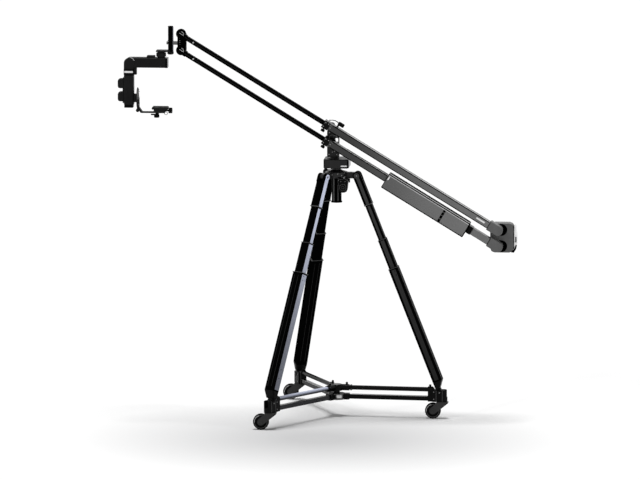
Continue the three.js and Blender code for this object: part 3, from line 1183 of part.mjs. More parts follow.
// Head arm: a deep box bar with a low lid, a rounded elbow, a down-turned end and a small stop
function headArm() {
  const outer = -HEAD_ARM_OUTER_END;
  const outline = new THREE.Shape();
  outline.moveTo(HEAD_ARM_INNER_END, 0);
  outline.lineTo(outer + HEAD_ARM_ELBOW, 0);
  outline.absarc(outer + HEAD_ARM_ELBOW, -HEAD_ARM_ELBOW, HEAD_ARM_ELBOW, Math.PI / 2, Math.PI);
  outline.lineTo(outer, -DROP_START);
  outline.lineTo(outer + DROP_WIDTH, -DROP_START);
  outline.lineTo(outer + DROP_WIDTH, -HEAD_ARM_HEIGHT);
  outline.lineTo(HEAD_ARM_INNER_END, -HEAD_ARM_HEIGHT);
  const bar = acrossY(softExtrusion(outline, HEAD_ARM_DEPTH, HEAD_EDGE, ROUND_END_SEGMENTS),
    HEAD_ARM_DEPTH);
  const finTop = -HEAD_ARM_HEIGHT + HEAD_EDGE;
  const fin = block(FIN_WIDTH + HEAD_EDGE, FIN_DEPTH, finTop + FIN_END,
    outer + DROP_WIDTH + (FIN_WIDTH - HEAD_EDGE) / 2, 0, (finTop - FIN_END) / 2);
  const lid = softExtrusion(chamferedRectangle(HEAD_BOX_LENGTH, HEAD_BOX_DEPTH, MAST_EDGE, -HEAD_BOX_AT),
    HEAD_BOX_HEIGHT + BITE, MAST_EDGE / 2).translate(0, 0, -BITE);
  const bore = cylinder(PAN_SPINDLE_RADIUS + RUN, PAN_SPINDLE_LENGTH + SEAT + OVERRUN, 'z', 0, 0,
    -(PAN_SPINDLE_LENGTH + SEAT - OVERRUN) / 2);
  const socketWidth = DROP_WIDTH - 2 * DROP_PLUG_INSET + 2 * RUN;
  const socketDepth = HEAD_ARM_DEPTH - 2 * DROP_PLUG_INSET + 2 * RUN;
  const socket = block(socketWidth, socketDepth, DROP_PLUG_HEIGHT + SEAT + OVERRUN,
    outer + DROP_WIDTH / 2, 0, -DROP_START + (DROP_PLUG_HEIGHT + SEAT - OVERRUN) / 2);
  return cut(join(bar, fin, lid), bore, socket);
}

// Drop: the hanging box bar, plugged into the arm's down-turned end
function headDrop() {
  const top = -DROP_START - SEAT;
  const middle = -HEAD_ARM_OUTER_END + DROP_WIDTH / 2;
  const outline = chamferedRectangle(DROP_WIDTH, HEAD_ARM_DEPTH, HEAD_EDGE, middle, 0);
  const bar = softExtrusion(outline, top + DROP_END, HEAD_EDGE / 2).translate(0, 0, -DROP_END);
  const plug = block(DROP_WIDTH - 2 * DROP_PLUG_INSET, HEAD_ARM_DEPTH - 2 * DROP_PLUG_INSET,
    DROP_PLUG_HEIGHT + BITE, middle, 0, top + (DROP_PLUG_HEIGHT - BITE) / 2);
  const shaftHole = cylinder(TILT_SHAFT_RADIUS + RUN, TILT_SHAFT_LENGTH + SEAT + OVERRUN, 'x',
    -HEAD_ARM_OUTER_END + DROP_WIDTH - (TILT_SHAFT_LENGTH + SEAT - OVERRUN) / 2, 0, -TILT_DROP);
  return cut(join(bar, plug), shaftHole);
}

// Drop cap: the low end cap with ribs down its long faces
function dropCap() {
  const width = DROP_WIDTH - 2 * DROP_CAP_INSET;
  const depth = HEAD_ARM_DEPTH - 2 * DROP_CAP_INSET;
  const middle = -HEAD_ARM_OUTER_END + DROP_WIDTH / 2;
  const outline = chamferedRectangle(width, depth, HEAD_EDGE, middle, 0);
  const body = softExtrusion(outline, DROP_CAP_HEIGHT, HEAD_EDGE / 2)
    .translate(0, 0, -DROP_END - SEAT - DROP_CAP_HEIGHT);
  const grooves = [-1, 1].flatMap((side) => Array.from({ length: DROP_CAP_RIBS }, (_, i) => block(
    DROP_RIB_WIDTH,
    2 * DROP_RIB_DEPTH,
    DROP_CAP_HEIGHT - 2 * HEAD_EDGE,
    middle + (i - (DROP_CAP_RIBS - 1) / 2) * 2 * DROP_RIB_WIDTH,
    side * depth / 2,
    -DROP_END - SEAT - DROP_CAP_HEIGHT / 2,
  )));
  return cut(body, ...grooves);
}

// Side cover: a flat plate on the drop's outer face with two rounded bumps
function sideCover() {
  const face = -HEAD_ARM_OUTER_END - SEAT;
  const plate = alongX(
    softExtrusion(chamferedRectangle(COVER_PLATE_WIDTH, COVER_PLATE_HEIGHT, COVER_PLATE_CORNER, 0,
      -COVER_PLATE_DROP - COVER_PLATE_HEIGHT / 2), COVER_PLATE_THICKNESS, HEAD_EDGE / 2),
    face - COVER_PLATE_THICKNESS,
  );
  const bumps = [BUMP_UPPER_DROP, BUMP_LOWER_DROP].map((drop) => {
    const outline = new THREE.Shape();
    const x = face - COVER_PLATE_THICKNESS + BITE;
    outline.moveTo(x, -drop + BUMP_HEIGHT / 2);
    outline.lineTo(x - BUMP_PROUD + BUMP_CORNER, -drop + BUMP_HEIGHT / 2);
    outline.absarc(x - BUMP_PROUD + BUMP_CORNER, -drop + BUMP_HEIGHT / 2 - BUMP_CORNER, BUMP_CORNER,
      Math.PI / 2, Math.PI);
    outline.absarc(x - BUMP_PROUD + BUMP_CORNER, -drop - BUMP_HEIGHT / 2 + BUMP_CORNER, BUMP_CORNER,
      Math.PI, 1.5 * Math.PI);
    outline.lineTo(x, -drop - BUMP_HEIGHT / 2);
    return acrossY(straightExtrusion(outline, BUMP_WIDTH), BUMP_WIDTH);
  });
  return join(plate, ...bumps);
}

// Tilt bracket: hub and shaft, the thin disc, the folded arm, the bar with its loop and the clamp block
function tiltBracket() {
  const face = -HEAD_ARM_OUTER_END + DROP_WIDTH;
  const hubStart = face + SEAT;
  const hubEnd = hubStart + TILT_HUB_LENGTH;
  const discEnd = hubEnd + TILT_DISC_THICKNESS;
  const axis = -TILT_DROP;
  const low = axis - TILT_ARM_DROP;
  const barEnd = discEnd + TILT_KNEE + TILT_BAR_LENGTH;
  const shaft = cylinder(TILT_SHAFT_RADIUS, TILT_SHAFT_LENGTH + TILT_HUB_LENGTH, 'x',
    hubEnd - (TILT_SHAFT_LENGTH + TILT_HUB_LENGTH) / 2, 0, axis, SMALL_SEGMENTS);
  const hub = cylinder(TILT_HUB_RADIUS, TILT_HUB_LENGTH + BITE, 'x',
    hubStart + (TILT_HUB_LENGTH + BITE) / 2, 0, axis);
  const disc = cylinder(TILT_DISC_RADIUS, TILT_DISC_THICKNESS, 'x', (hubEnd + discEnd) / 2, 0, axis,
    2 * SMALL_SEGMENTS);
  const fold = new THREE.Shape();
  fold.moveTo(discEnd - BITE, axis);
  fold.lineTo(discEnd - BITE, low + TILT_KNEE);
  fold.lineTo(discEnd + TILT_KNEE - BITE, low - TILT_BAR_THICKNESS);
  fold.lineTo(barEnd, low - TILT_BAR_THICKNESS);
  fold.lineTo(barEnd, low);
  fold.lineTo(discEnd + TILT_KNEE + TILT_ARM_THICKNESS, low);
  fold.lineTo(discEnd + TILT_ARM_THICKNESS, low + TILT_KNEE + TILT_ARM_THICKNESS);
  fold.lineTo(discEnd + TILT_ARM_THICKNESS, axis);
  const arm = acrossY(straightExtrusion(fold, TILT_ARM_WIDTH), TILT_ARM_WIDTH);
  const knuckle = cylinder(TILT_KNUCKLE_RADIUS, TILT_ARM_WIDTH + 2 * TILT_ARM_THICKNESS, 'y',
    discEnd, 0, low + TILT_KNEE / 2, SMALL_SEGMENTS);
  const clamp = softExtrusion(
    chamferedRectangle(CLAMP_BLOCK_LENGTH, CLAMP_BLOCK_WIDTH, MAST_EDGE, CLAMP_BLOCK_AT),
    CLAMP_BLOCK_HEIGHT + BITE,
    MAST_EDGE / 2,
  ).translate(0, 0, low - BITE);
  const loopTop = low + CLAMP_BLOCK_HEIGHT / 2 - PLATE_KNOB_STEM_RADIUS - RUN;
  const loop = new THREE.TorusGeometry(BAR_LOOP_RADIUS, BAR_LOOP_HALF, SMALL_SEGMENTS / 2, SMALL_SEGMENTS)
    .rotateX(Math.PI / 2)
    .translate(barEnd + BAR_LOOP_RADIUS - TILT_BAR_THICKNESS / 2, 0,
      loopTop - BAR_LOOP_RADIUS - BAR_LOOP_HALF);
  const knobHole = cylinder(PLATE_KNOB_STEM_RADIUS + RUN, PLATE_KNOB_TENON + SEAT + OVERRUN, 'x',
    CLAMP_FACE - (PLATE_KNOB_TENON + SEAT - OVERRUN) / 2, 0, low + CLAMP_BLOCK_HEIGHT / 2,
    SMALL_SEGMENTS);
  return cut(join(shaft, hub, disc, arm, knuckle, clamp, loop), knobHole);
}

// Camera plate: the flat quick plate with its front lip
function cameraPlate() {
  const bottom = BAR_TOP + CLAMP_BLOCK_HEIGHT + SEAT;
  const outline = chamferedRectangle(PLATE_LENGTH, PLATE_WIDTH, PLATE_CORNER, PLATE_AT, 0);
  return softExtrusion(outline, PLATE_THICKNESS, MAST_EDGE / 2).translate(0, 0, bottom);
}

// Plate knob: a drum knob on a stem that screws into the clamp block
function plateKnob() {
  const knobStart = CLAMP_FACE + PLATE_KNOB_STEM_LENGTH;
  const stemStart = CLAMP_FACE - PLATE_KNOB_TENON;
  const stem = cylinder(PLATE_KNOB_STEM_RADIUS, knobStart + BITE - stemStart, 'x',
    (stemStart + knobStart + BITE) / 2, 0, 0, SMALL_SEGMENTS);
  const knob = cylinder(PLATE_KNOB_RADIUS, PLATE_KNOB_LENGTH, 'x', knobStart + PLATE_KNOB_LENGTH / 2);
  return join(stem, knob).translate(0, 0, BAR_TOP + CLAMP_BLOCK_HEIGHT / 2);
}

// Plate lever: a hub under the bar with a flat lever
function plateLever() {
  const top = BAR_TOP - TILT_BAR_THICKNESS - SEAT;
  const hub = cylinder(PLATE_LEVER_RADIUS, PLATE_LEVER_HEIGHT, 'z', 0, 0, top - PLATE_LEVER_HEIGHT / 2,
    SMALL_SEGMENTS);
  const arm = acrossY(
    softExtrusion(tongueOutline(PLATE_LEVER_THICKNESS / 2, PLATE_LEVER_LENGTH), PLATE_LEVER_RADIUS, BITE),
    PLATE_LEVER_RADIUS,
  ).rotateZ(Math.PI).translate(0, 0, top - PLATE_LEVER_HEIGHT + PLATE_LEVER_THICKNESS / 2);
  return join(hub, arm).translate(PLATE_LEVER_AT, 0, 0);
}

// Assembly
const jib = new THREE.Group();

const dollyParts = ARM_NAMES.map((name, index) => armHolder(
  index,
  piece(`dolly_tube_${name}`, tieTube(), FINISHES.blackGloss),
  piece(`dolly_rail_${name}`, rail(), FINISHES.blackSatin),
  piece(`corner_block_${name}`, cornerBlock(), FINISHES.blackGloss),
));

const tripod = group(
  piece('crown', crown(), FINISHES.blackSatin),
  piece('centre_column', centreColumn(), FINISHES.blackSatin),
  piece('control_box', controlBox(), FINISHES.darkGrey),
  ...ARM_NAMES.map((name, index) => leg(name, index)),
);

function boomHolder(height, ...children) {
  const holder = group(...children);
  holder.position.set(MAST_PIVOT_X, 0, height);
  holder.rotation.y = BOOM_TILT;
  return holder;
}

function along(offset, ...children) {
  const holder = group(...children);
  holder.position.x = offset;
  return holder;
}

// Pieces that stay level while the boom tilts are turned back at the boom's end
function levelled(offset, ...children) {
  const holder = along(offset, ...children);
  holder.rotation.y = -BOOM_TILT;
  return holder;
}

const clampMiddle = -BEAM_FRONT + CLAMP_LENGTH / 2;
const upperPivotHeight = PIVOT_LOWER_HEIGHT + PIVOT_SPACING;

function knobHolder(mesh, offset) {
  const holder = along(offset, mesh);
  holder.position.y = BEAM_MIDDLE;
  return holder;
}

const headTurning = group(
  piece('head_arm', headArm(), FINISHES.blackSatin),
  piece('head_drop', headDrop(), FINISHES.blackSatin),
  piece('head_drop_cap', dropCap(), FINISHES.rubber),
  piece('head_side_cover', sideCover(), FINISHES.blackSatin),
  piece('tilt_bracket', tiltBracket(), FINISHES.darkGrey),
  piece('camera_plate', cameraPlate(), FINISHES.blackSatin),
  piece('plate_knob', plateKnob(), FINISHES.darkGrey),
  piece('plate_lever', plateLever(), FINISHES.darkGrey),
);
headTurning.position.set(PAN_X, LINK_MIDDLE, ARM_TOP);

const boomLower = boomHolder(
  PIVOT_LOWER_HEIGHT,
  piece('lower_beam', rearBeam(), FINISHES.beamGrey),
  piece('lower_tube', frontTube(), FINISHES.blackGloss),
  piece('mast_pivot_lower', mastPivot(), FINISHES.blackSatin),
  piece('drive_housing', driveHousing(), FINISHES.beamGrey),
  knobHolder(piece('lower_clamp_knob', clampKnob(), FINISHES.darkGrey), clampMiddle),
  along(REAR_REACH, piece('rear_socket_lower', rearSocket(), FINISHES.socketGrey)),
  levelled(
    REAR_REACH,
    piece('rear_link', rearLink(), FINISHES.socketGrey),
    piece('rear_cover', rearCover(), FINISHES.coverWhite),
  ),
  levelled(
    -FRONT_REACH,
    piece('front_link', frontLink(), FINISHES.blackSatin),
    piece('head_spigot', headSpigot(), FINISHES.steel),
    piece('head_post', headPost(), FINISHES.blackSatin),
    piece('head_foot', headFoot(), FINISHES.blackSatin),
    headTurning,
  ),
);

const boomUpper = boomHolder(
  upperPivotHeight,
  piece('upper_beam', rearBeam(), FINISHES.beamGrey),
  piece('upper_tube', frontTube(), FINISHES.blackGloss),
  piece('mast_pivot_upper', mastPivot(), FINISHES.blackSatin),
  knobHolder(piece('upper_clamp_knob', clampKnob(), FINISHES.darkGrey), clampMiddle),
  knobHolder(piece('top_lock', topLock(), FINISHES.darkGrey), TOP_LOCK_AT),
  along(REAR_REACH, piece('rear_socket_upper', rearSocket(), FINISHES.socketGrey)),
);

jib.add(
  piece('hub_ring', hubRing(), FINISHES.blackSatin),
  piece('hub_cap', hubCap(), FINISHES.blackGloss),
  ...dollyParts,
  ...ARM_NAMES.map((name, index) => caster(name, index)),
  tripod,
  piece('pan_base', panBase(), FINISHES.darkGrey),
  piece('mast', mast(), FINISHES.darkGrey),
  boomLower,
  boomUpper,
);

// The whole is set over the middle of its box, standing on the floor
const bounds = new THREE.Box3().setFromObject(jib);
const centre = bounds.getCenter(new THREE.Vector3());
jib.position.set(-centre.x, -centre.y, -bounds.min.z);

export default jib;
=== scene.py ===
import math

import bmesh
import bpy
from mathutils import Matrix, Vector


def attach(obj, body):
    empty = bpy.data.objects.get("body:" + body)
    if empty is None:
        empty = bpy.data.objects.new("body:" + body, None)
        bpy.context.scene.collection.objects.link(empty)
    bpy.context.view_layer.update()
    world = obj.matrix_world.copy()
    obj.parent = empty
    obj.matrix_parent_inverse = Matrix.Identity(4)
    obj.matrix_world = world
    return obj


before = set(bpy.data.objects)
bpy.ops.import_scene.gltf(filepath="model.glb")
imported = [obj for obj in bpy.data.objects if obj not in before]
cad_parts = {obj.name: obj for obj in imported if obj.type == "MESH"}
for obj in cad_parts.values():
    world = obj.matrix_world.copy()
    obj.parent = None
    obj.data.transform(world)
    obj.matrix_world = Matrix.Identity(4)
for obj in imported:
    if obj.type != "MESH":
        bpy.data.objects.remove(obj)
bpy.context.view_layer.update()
scene = bpy.context.scene
scene.view_settings.view_transform = "Standard"

# The tripod's own axis on the floor, in metres
SHIFT = Vector((0.073009, -0.013958, 0.0))

# Sizes of the CAD part, in millimetres. A face or a side is a plane that pieces sit on.
# Dolly arms, casters, and the legs with their ankles and hinges
ARM_NAMES = ("rear", "front", "back")
FIRST_ARM_TURN = math.radians(-4.1)
ARM_STEP = math.radians(-120)
BLOCK_SIDE = 16
RAIL_EDGE = 8.2
RAIL_TOP = 85.75
TIE_HEIGHT = 111.5
CASTER_PATH = 407
CASTER_TRAIL = 32
WHEEL_RADIUS = 30.5
WHEEL_SIDE = 11
ANKLE_RADIUS = 402
ANKLE_HEIGHT = 102
ANKLE_SIDE = 18.6
LEG_SET_OUT = 9.5
HINGE_RADIUS = 80
HINGE_HEIGHT = 936
HINGE_SIDE = 21.15

# Crown, control box, pan base and mast
CROWN_RADIUS = 43
CONTROL_FACE = -53
BASE_FACE = -47
BASE_BOTTOM = 966
BASE_TOP = 1001
MAST_FACE = -14

# Boom: LOWER and UPPER are the heights of its two pivots on the mast
BOOM_TILT = math.radians(31.35)
PIVOT_X = -19.2
PIVOT_SPACING = 63
LOWER = 1062
UPPER = LOWER + PIVOT_SPACING
LEVELS = (("upper", UPPER), ("lower", LOWER))
FRONT_REACH = 675
REAR_REACH = 751.5
BEAM_BACK = -20
BEAM_FACE = -61
BEAM_TOP = 13.5
TUBE_FACE = -52.5
HOUSING_START = 251
HOUSING_END = 615
HOUSING_FACE = -73
HOUSING_TOP = 24.5
HOUSING_LOW = -37.5

# Links and head: HEAD_OFFSET is the head's pan unit, seen from the lower front pivot
LINK_FACE = BEAM_BACK + 0.6
CAP_FACE = -54.8
HEAD_OFFSET = (-78.7, -5.4, -31.4)
HEAD_ARM_FACE = -20
BUMP_FACE = -161.5

# Camera of the photograph: its direction in degrees, its distance in metres
VIEW_AZIMUTH = 5
VIEW_ELEVATION = 8.4
VIEW_DISTANCE = 30.0
MM_PER_PIXEL = 3.85
ORIGIN_PIXEL = (336.6, 415.5)
PHOTO_SIZE = (640, 480)
SENSOR = 36.0

FRONT = (0, -1, 0)
UP = (0, 0, 1)
ALONG = (1, 0, 0)


def mm(*values):
    return Vector(values) / 1000


# Places: each is the matrix of one of the CAD part's own groups
CENTRE = Matrix.Translation(SHIFT)


def arm(index):
    """A dolly arm: x runs outwards along it."""
    return CENTRE @ Matrix.Rotation(FIRST_ARM_TURN + index * ARM_STEP, 4, "Z")


def leg(index):
    """A leg: it stands on its ankle, and z runs up along its tubes."""
    run, rise = ANKLE_RADIUS - HINGE_RADIUS, HINGE_HEIGHT - ANKLE_HEIGHT
    lean = math.atan2(run, rise) + math.asin(LEG_SET_OUT / math.hypot(run, rise))
    ankle = Matrix.Translation(mm(ANKLE_RADIUS, 0, ANKLE_HEIGHT))
    return arm(index) @ ankle @ Matrix.Rotation(-lean, 4, "Y")


def boom(height):
    """A beam and its tube: x runs along them to the rear, from the mast pivot at that height."""
    pivot = Matrix.Translation(mm(PIVOT_X, 0, height))
    return CENTRE @ pivot @ Matrix.Rotation(BOOM_TILT, 4, "Y")


def upright(reach):
    """A link that stands upright at the lower beam's pivot, at that reach from the mast."""
    return boom(LOWER) @ Matrix.Translation(mm(reach, 0, 0)) @ Matrix.Rotation(-BOOM_TILT, 4, "Y")


REAR_LINK = upright(REAR_REACH)
FRONT_LINK = upright(-FRONT_REACH)
HEAD = FRONT_LINK @ Matrix.Translation(mm(*HEAD_OFFSET))


def towards(azimuth, elevation):
    """The direction from the part to a place round it, in degrees from the front."""
    turn, rise = math.radians(azimuth), math.radians(elevation)
    return Vector((
        math.sin(turn) * math.cos(rise), -math.cos(turn) * math.cos(rise), math.sin(rise),
    ))


# Camera
def make_camera():
    back = towards(VIEW_AZIMUTH, VIEW_ELEVATION)
    turn = math.radians(VIEW_AZIMUTH)
    right = Vector((math.cos(turn), math.sin(turn), 0))
    up = back.cross(right)
    across = (PHOTO_SIZE[0] / 2 - ORIGIN_PIXEL[0]) * MM_PER_PIXEL / 1000
    above = (ORIGIN_PIXEL[1] - PHOTO_SIZE[1] / 2) * MM_PER_PIXEL / 1000
    data = bpy.data.cameras.new("camera")
    data.sensor_width = SENSOR
    data.lens = SENSOR * VIEW_DISTANCE / (MM_PER_PIXEL / 1000 * PHOTO_SIZE[0])
    data.clip_start, data.clip_end = 0.5, 200
    camera = bpy.data.objects.new("camera", data)
    camera.location = SHIFT + right * across + up * above + back * VIEW_DISTANCE
    camera.rotation_mode = "QUATERNION"
    camera.rotation_quaternion = (-back).to_track_quat("-Z", "Y")
    scene.collection.objects.link(camera)
    scene.camera = camera


make_camera()


# Finishes
class Sheet:
    """A material's node tree, with short calls for the nodes that the finishes share."""

    def __init__(self, name):
        self.material = bpy.data.materials.new(name)
        self.material.use_nodes = True
        self.tree = self.material.node_tree
        self.shader = self.tree.nodes["Principled BSDF"]

    def add(self, kind, numbers=None, **settings):
        """A new node with its settings, and with numbers on its inputs."""
        node = self.tree.nodes.new(kind)
        for key, value in settings.items():
            setattr(node, key, value)
        for key, value in (numbers or {}).items():
            node.inputs[key].default_value = value
        return node

    def link(self, start, end):
        self.tree.links.new(start, end)

    def place(self, scale=(1, 1, 1), shift=(0, 0, 0)):
        """Object coordinates: metres in the part's own frame."""
        coordinates = self.add("ShaderNodeTexCoord")
        mapping = self.add("ShaderNodeMapping", {"Scale": scale, "Location": shift})
        self.link(coordinates.outputs["Object"], mapping.inputs["Vector"])
        return mapping.outputs["Vector"]

    def noise(self, scale, detail=3):
        node = self.add("ShaderNodeTexNoise", {"Scale": scale, "Detail": detail})
        self.link(self.place(), node.inputs["Vector"])
        return node.outputs["Fac"]

    def spread(self, value, low, high, start=0.3, end=0.7):
        """Maps the values from start to end to those from low to high."""
        numbers = {"From Min": start, "From Max": end, "To Min": low, "To Max": high}
        node = self.add("ShaderNodeMapRange", numbers)
        self.link(value, node.inputs["Value"])
        return node.outputs["Result"]

    def blend(self, factor, first, second):
        """Mixes two colours, each a tuple or a socket."""
        node = self.add("ShaderNodeMix", data_type="RGBA")
        sockets = [socket for socket in node.inputs if socket.type == "RGBA"]
        for socket, colour in zip(sockets, (first, second)):
            if isinstance(colour, tuple):
                socket.default_value = colour
            else:
                self.link(colour, socket)
        self.link(factor, node.inputs["Factor"])
        return next(socket for socket in node.outputs if socket.type == "RGBA")

    def finish(self, colour, rough, gloss, metal, patches, grain, strength, depth):
        """Sets the colour, a roughness that wanders in patches, the gloss and a fine grain."""
        wander = self.spread(self.noise(patches), rough * SMOOTHER, rough * ROUGHER)
        bump = self.add("ShaderNodeBump", {"Strength": strength, "Distance": depth})
        self.link(self.noise(grain, 2), bump.inputs["Height"])
        self.link(colour, self.shader.inputs["Base Color"])
        self.link(wander, self.shader.inputs["Roughness"])
        self.link(bump.outputs["Normal"], self.shader.inputs["Normal"])
        self.shader.inputs["Metallic"].default_value = metal
        self.shader.inputs["Specular IOR Level"].default_value = gloss
        return self.material


# Tints: plain, and the blue of the painted reflections; and how far a roughness wanders from its
# own number
PLAIN = (1, 1, 1)
REFLECTED_BLUE = (0.86, 0.92, 1.14)
SMOOTHER, ROUGHER = 0.82, 1.2


def grey(level, tint=PLAIN):
    """A display level of 0 to 255 as a linear colour."""
    share = level / 255
    linear = share / 12.92 if share <= 0.04045 else ((share + 0.055) / 1.055) ** 2.4
    return (linear * tint[0], linear * tint[1], linear * tint[2], 1)


def coating(name, level, rough, gloss=0.3, metal=0.0, grain=900, depth=0.00004, mottle=0.16,
            tint=PLAIN):
    """Paint, powder coat or anodising: faint mottle, uneven sheen and a fine grain."""
    sheet = Sheet(name)
    cloud = sheet.spread(sheet.noise(14, 4), 0, 1)
    colour = sheet.blend(cloud, grey(level * (1 - mottle), tint), grey(level * (1 + mottle), tint))
    return sheet.finish(colour, rough, gloss, metal, patches=60, grain=grain, strength=0.35,
                        depth=depth)


def painted_light_ramp(name, axis, stops, rough, gloss, tint=PLAIN):
    """Painted light and shade: a finish whose level changes along X or Z, at stops of (place in
    metres, level).
    """
    sheet = Sheet(name)
    split = sheet.add("ShaderNodeSeparateXYZ")
    sheet.link(sheet.place(), split.inputs[0])
    ramp = sheet.add("ShaderNodeValToRGB")
    bands = ramp.color_ramp.elements
    for index, (place, level) in enumerate(stops):
        band = bands[index] if index < 2 else bands.new(place)
        band.position = place
        band.color = grey(level, tint)
    sheet.link(split.outputs[axis], ramp.inputs["Fac"])
    cloud = sheet.spread(sheet.noise(18, 4), 0, 0.14)
    colour = sheet.blend(cloud, ramp.outputs["Color"], grey(60, tint))
    return sheet.finish(colour, rough, gloss, metal=0.0, patches=70, grain=1100, strength=0.3,
                        depth=0.00005)


# Painted light and shade: levels along the boom (X), darker near the mast and lighter towards the
# rear, and up the legs' inlays and the front dolly tube (Z), lighter towards the top
BEAM_PAINTED_LIGHT_STOPS = (
    (0.085, 18), (0.13, 24), (0.19, 44), (0.25, 64), (0.31, 82), (0.4, 97), (0.5, 105), (0.66, 110),
)
HOUSING_PAINTED_LIGHT_STOPS = ((0.27, 86), (0.33, 95), (0.4, 106), (0.5, 112), (0.6, 115))
FRONT_LEG_REFLECTION_STOPS = ((0.15, 112), (0.35, 134), (0.55, 184), (0.75, 228), (0.9, 244))
REAR_LEG_LIGHT_STOPS = ((0.15, 28), (0.5, 42), (0.9, 64))
TIE_TUBE_HIGHLIGHT_STOPS = ((0.103, 4), (0.1075, 12), (0.111, 62), (0.114, 150), (0.1175, 222))

# Each finish by its short name. A coating's numbers are level, roughness and gloss.
MATERIALS = {
    "leg": coating("leg_black_anodised", 3, 0.3, 0.004, grain=500, depth=0.00003),
    # The legs' face inlays: copies of one finish, each lit as its leg is: a painted reflection on
    # the front leg, grey lighter towards the top on the rear leg, painted shade on the back leg
    "leg_face_front": painted_light_ramp("leg_face_painted_reflection", "Z", FRONT_LEG_REFLECTION_STOPS, 0.3, 0.3, REFLECTED_BLUE),
    "leg_face_rear": painted_light_ramp("leg_grey_face_painted_light", "Z", REAR_LEG_LIGHT_STOPS, 0.34, 0.1),
    "leg_face_back": coating("leg_face_painted_shade", 4, 0.3, 0.0, grain=500),
    "arm": coating("dolly_black_gloss", 3, 0.16, 0.08, grain=420, depth=0.00003),
    # The front dolly tube: a painted highlight along its top and painted shade along its underside,
    # tinted with the blue of the painted reflections
    "arm_front": painted_light_ramp("dolly_tube_painted_highlight", "Z", TIE_TUBE_HIGHLIGHT_STOPS, 0.2, 0.12, REFLECTED_BLUE),
    # The front arm's rail: a paler, blue copy of the dolly's black that paints the reflection on
    # that arm
    "rail_front": coating("dolly_rail_painted_reflection", 27, 0.3, 0.2, grain=420, mottle=0.1, tint=REFLECTED_BLUE),
    "cast": coating("cast_black", 8, 0.42, 0.06, grain=1400, depth=0.00012),
    "fork": coating("pressed_steel_dark", 44, 0.42, 0.2),
    "crown": coating("crown_satin", 30, 0.3, 0.2, mottle=0.2),
    "rubber": coating("tyre_rubber", 6, 0.5, 0.04, grain=1600, depth=0.0001),
    "mast": coating("mast_anodised", 23, 0.4, 0.2, grain=1100),
    # The beams and the drive housing: painted light, darker near the mast and lighter towards the
    # rear
    "beam": painted_light_ramp("anodised_beam_painted_light", "X", BEAM_PAINTED_LIGHT_STOPS, 0.3, 0.5),
    "housing": painted_light_ramp("housing_with_painted_light", "X", HOUSING_PAINTED_LIGHT_STOPS, 0.36, 0.5),
    "link": coating("link_painted", 90, 0.42, grain=1300, depth=0.00008, mottle=0.08),
    "cover": coating("cover_white", 253, 0.38, 0.4, grain=1500, mottle=0.02),
    "head": coating("head_matt_black", 25, 0.5, 0.06, grain=1500, depth=0.0001),
    "tube": coating("tube_black", 2, 0.42, 0.01, grain=500, depth=0.00003),
    "plastic": coating("moulded_black", 6, 0.5, 0.04, grain=1700, depth=0.00012),
    "screw": coating("screw_steel", 135, 0.3, 0.4, metal=0.4, grain=1300, mottle=0.1),
    # Black grooves and gaps, also used for painted shadow and shade
    "groove": coating("black_groove_and_painted_shadow", 1.5, 0.6, 0.0),
    # Pale trim, also used for painted highlights on edges and top faces
    "trim": coating("pale_trim_and_painted_highlight", 196, 0.35, 0.4, mottle=0.08),
    "plate": coating("bare_plate_pale", 240, 0.4, mottle=0.03),
    "rim": coating("rim_grey", 64, 0.36, grain=1100),
    "gloss": coating("gloss_black", 3, 0.16, 0.05, grain=500, depth=0.00002),
    # Grey metal, also used for painted highlights on the centre column and the front arm's rail
    # edges
    "glint": coating("grey_and_painted_highlight", 96, 0.34, mottle=0.12),
    "blue_painted_highlight": coating("blue_grey_painted_highlight", 92, 0.3, mottle=0.1, tint=REFLECTED_BLUE),
}

# The finish of each CAD node, by the start of its name
MATERIAL_OF = {
    "hub_ring": "cast", "hub_cap": "arm", "dolly_tube": "arm", "dolly_tube_front": "arm_front",
    "dolly_rail": "arm", "dolly_rail_front": "rail_front", "corner_block": "cast",
    "caster_fork": "fork", "caster_wheel": "rubber", "crown": "crown", "centre_column": "tube",
    "control_box": "gloss", "leg_foot": "cast", "leg_outer": "leg", "leg_middle": "leg",
    "leg_top": "leg", "pan_base": "mast", "mast": "mast", "lower_beam": "beam",
    "lower_tube": "tube", "mast_pivot": "cast", "drive_housing": "housing",
    "lower_clamp_knob": "plastic", "upper_clamp_knob": "plastic", "rear_socket": "link",
    "rear_link": "link", "rear_cover": "cover", "front_link": "tube", "head_spigot": "glint",
    "head_post": "tube", "head_foot": "head", "head_arm": "head", "head_drop_cap": "gloss",
    "head_drop": "head", "head_side_cover": "head", "tilt_bracket": "head",
    "camera_plate": "head", "plate_knob": "plastic", "plate_lever": "plastic",
    "upper_beam": "beam", "upper_tube": "tube", "top_lock": "plastic",
}


def finish_of(node):
    """The finish of the longest name that the node's own name starts with."""
    return MATERIAL_OF[max((key for key in MATERIAL_OF if node.startswith(key)), key=len)]


# Edges of the CAD nodes: joined corners, a small round on every sharp edge, even shading
CORNER_GAP = 0.000004
EDGE_ROUND = 0.0006
FLAT_ANGLE = math.radians(1)
SHARP_ANGLE = math.radians(32)


def node_group(name, build):
    """A geometry node group with one geometry in and one out."""
    group = bpy.data.node_groups.new(name, "GeometryNodeTree")
    for way in ("INPUT", "OUTPUT"):
        group.interface.new_socket("Geometry", in_out=way, socket_type="NodeSocketGeometry")
    start, end = group.nodes.new("NodeGroupInput"), group.nodes.new("NodeGroupOutput")
    group.links.new(build(group, start.outputs[0]), end.inputs[0])
    return group


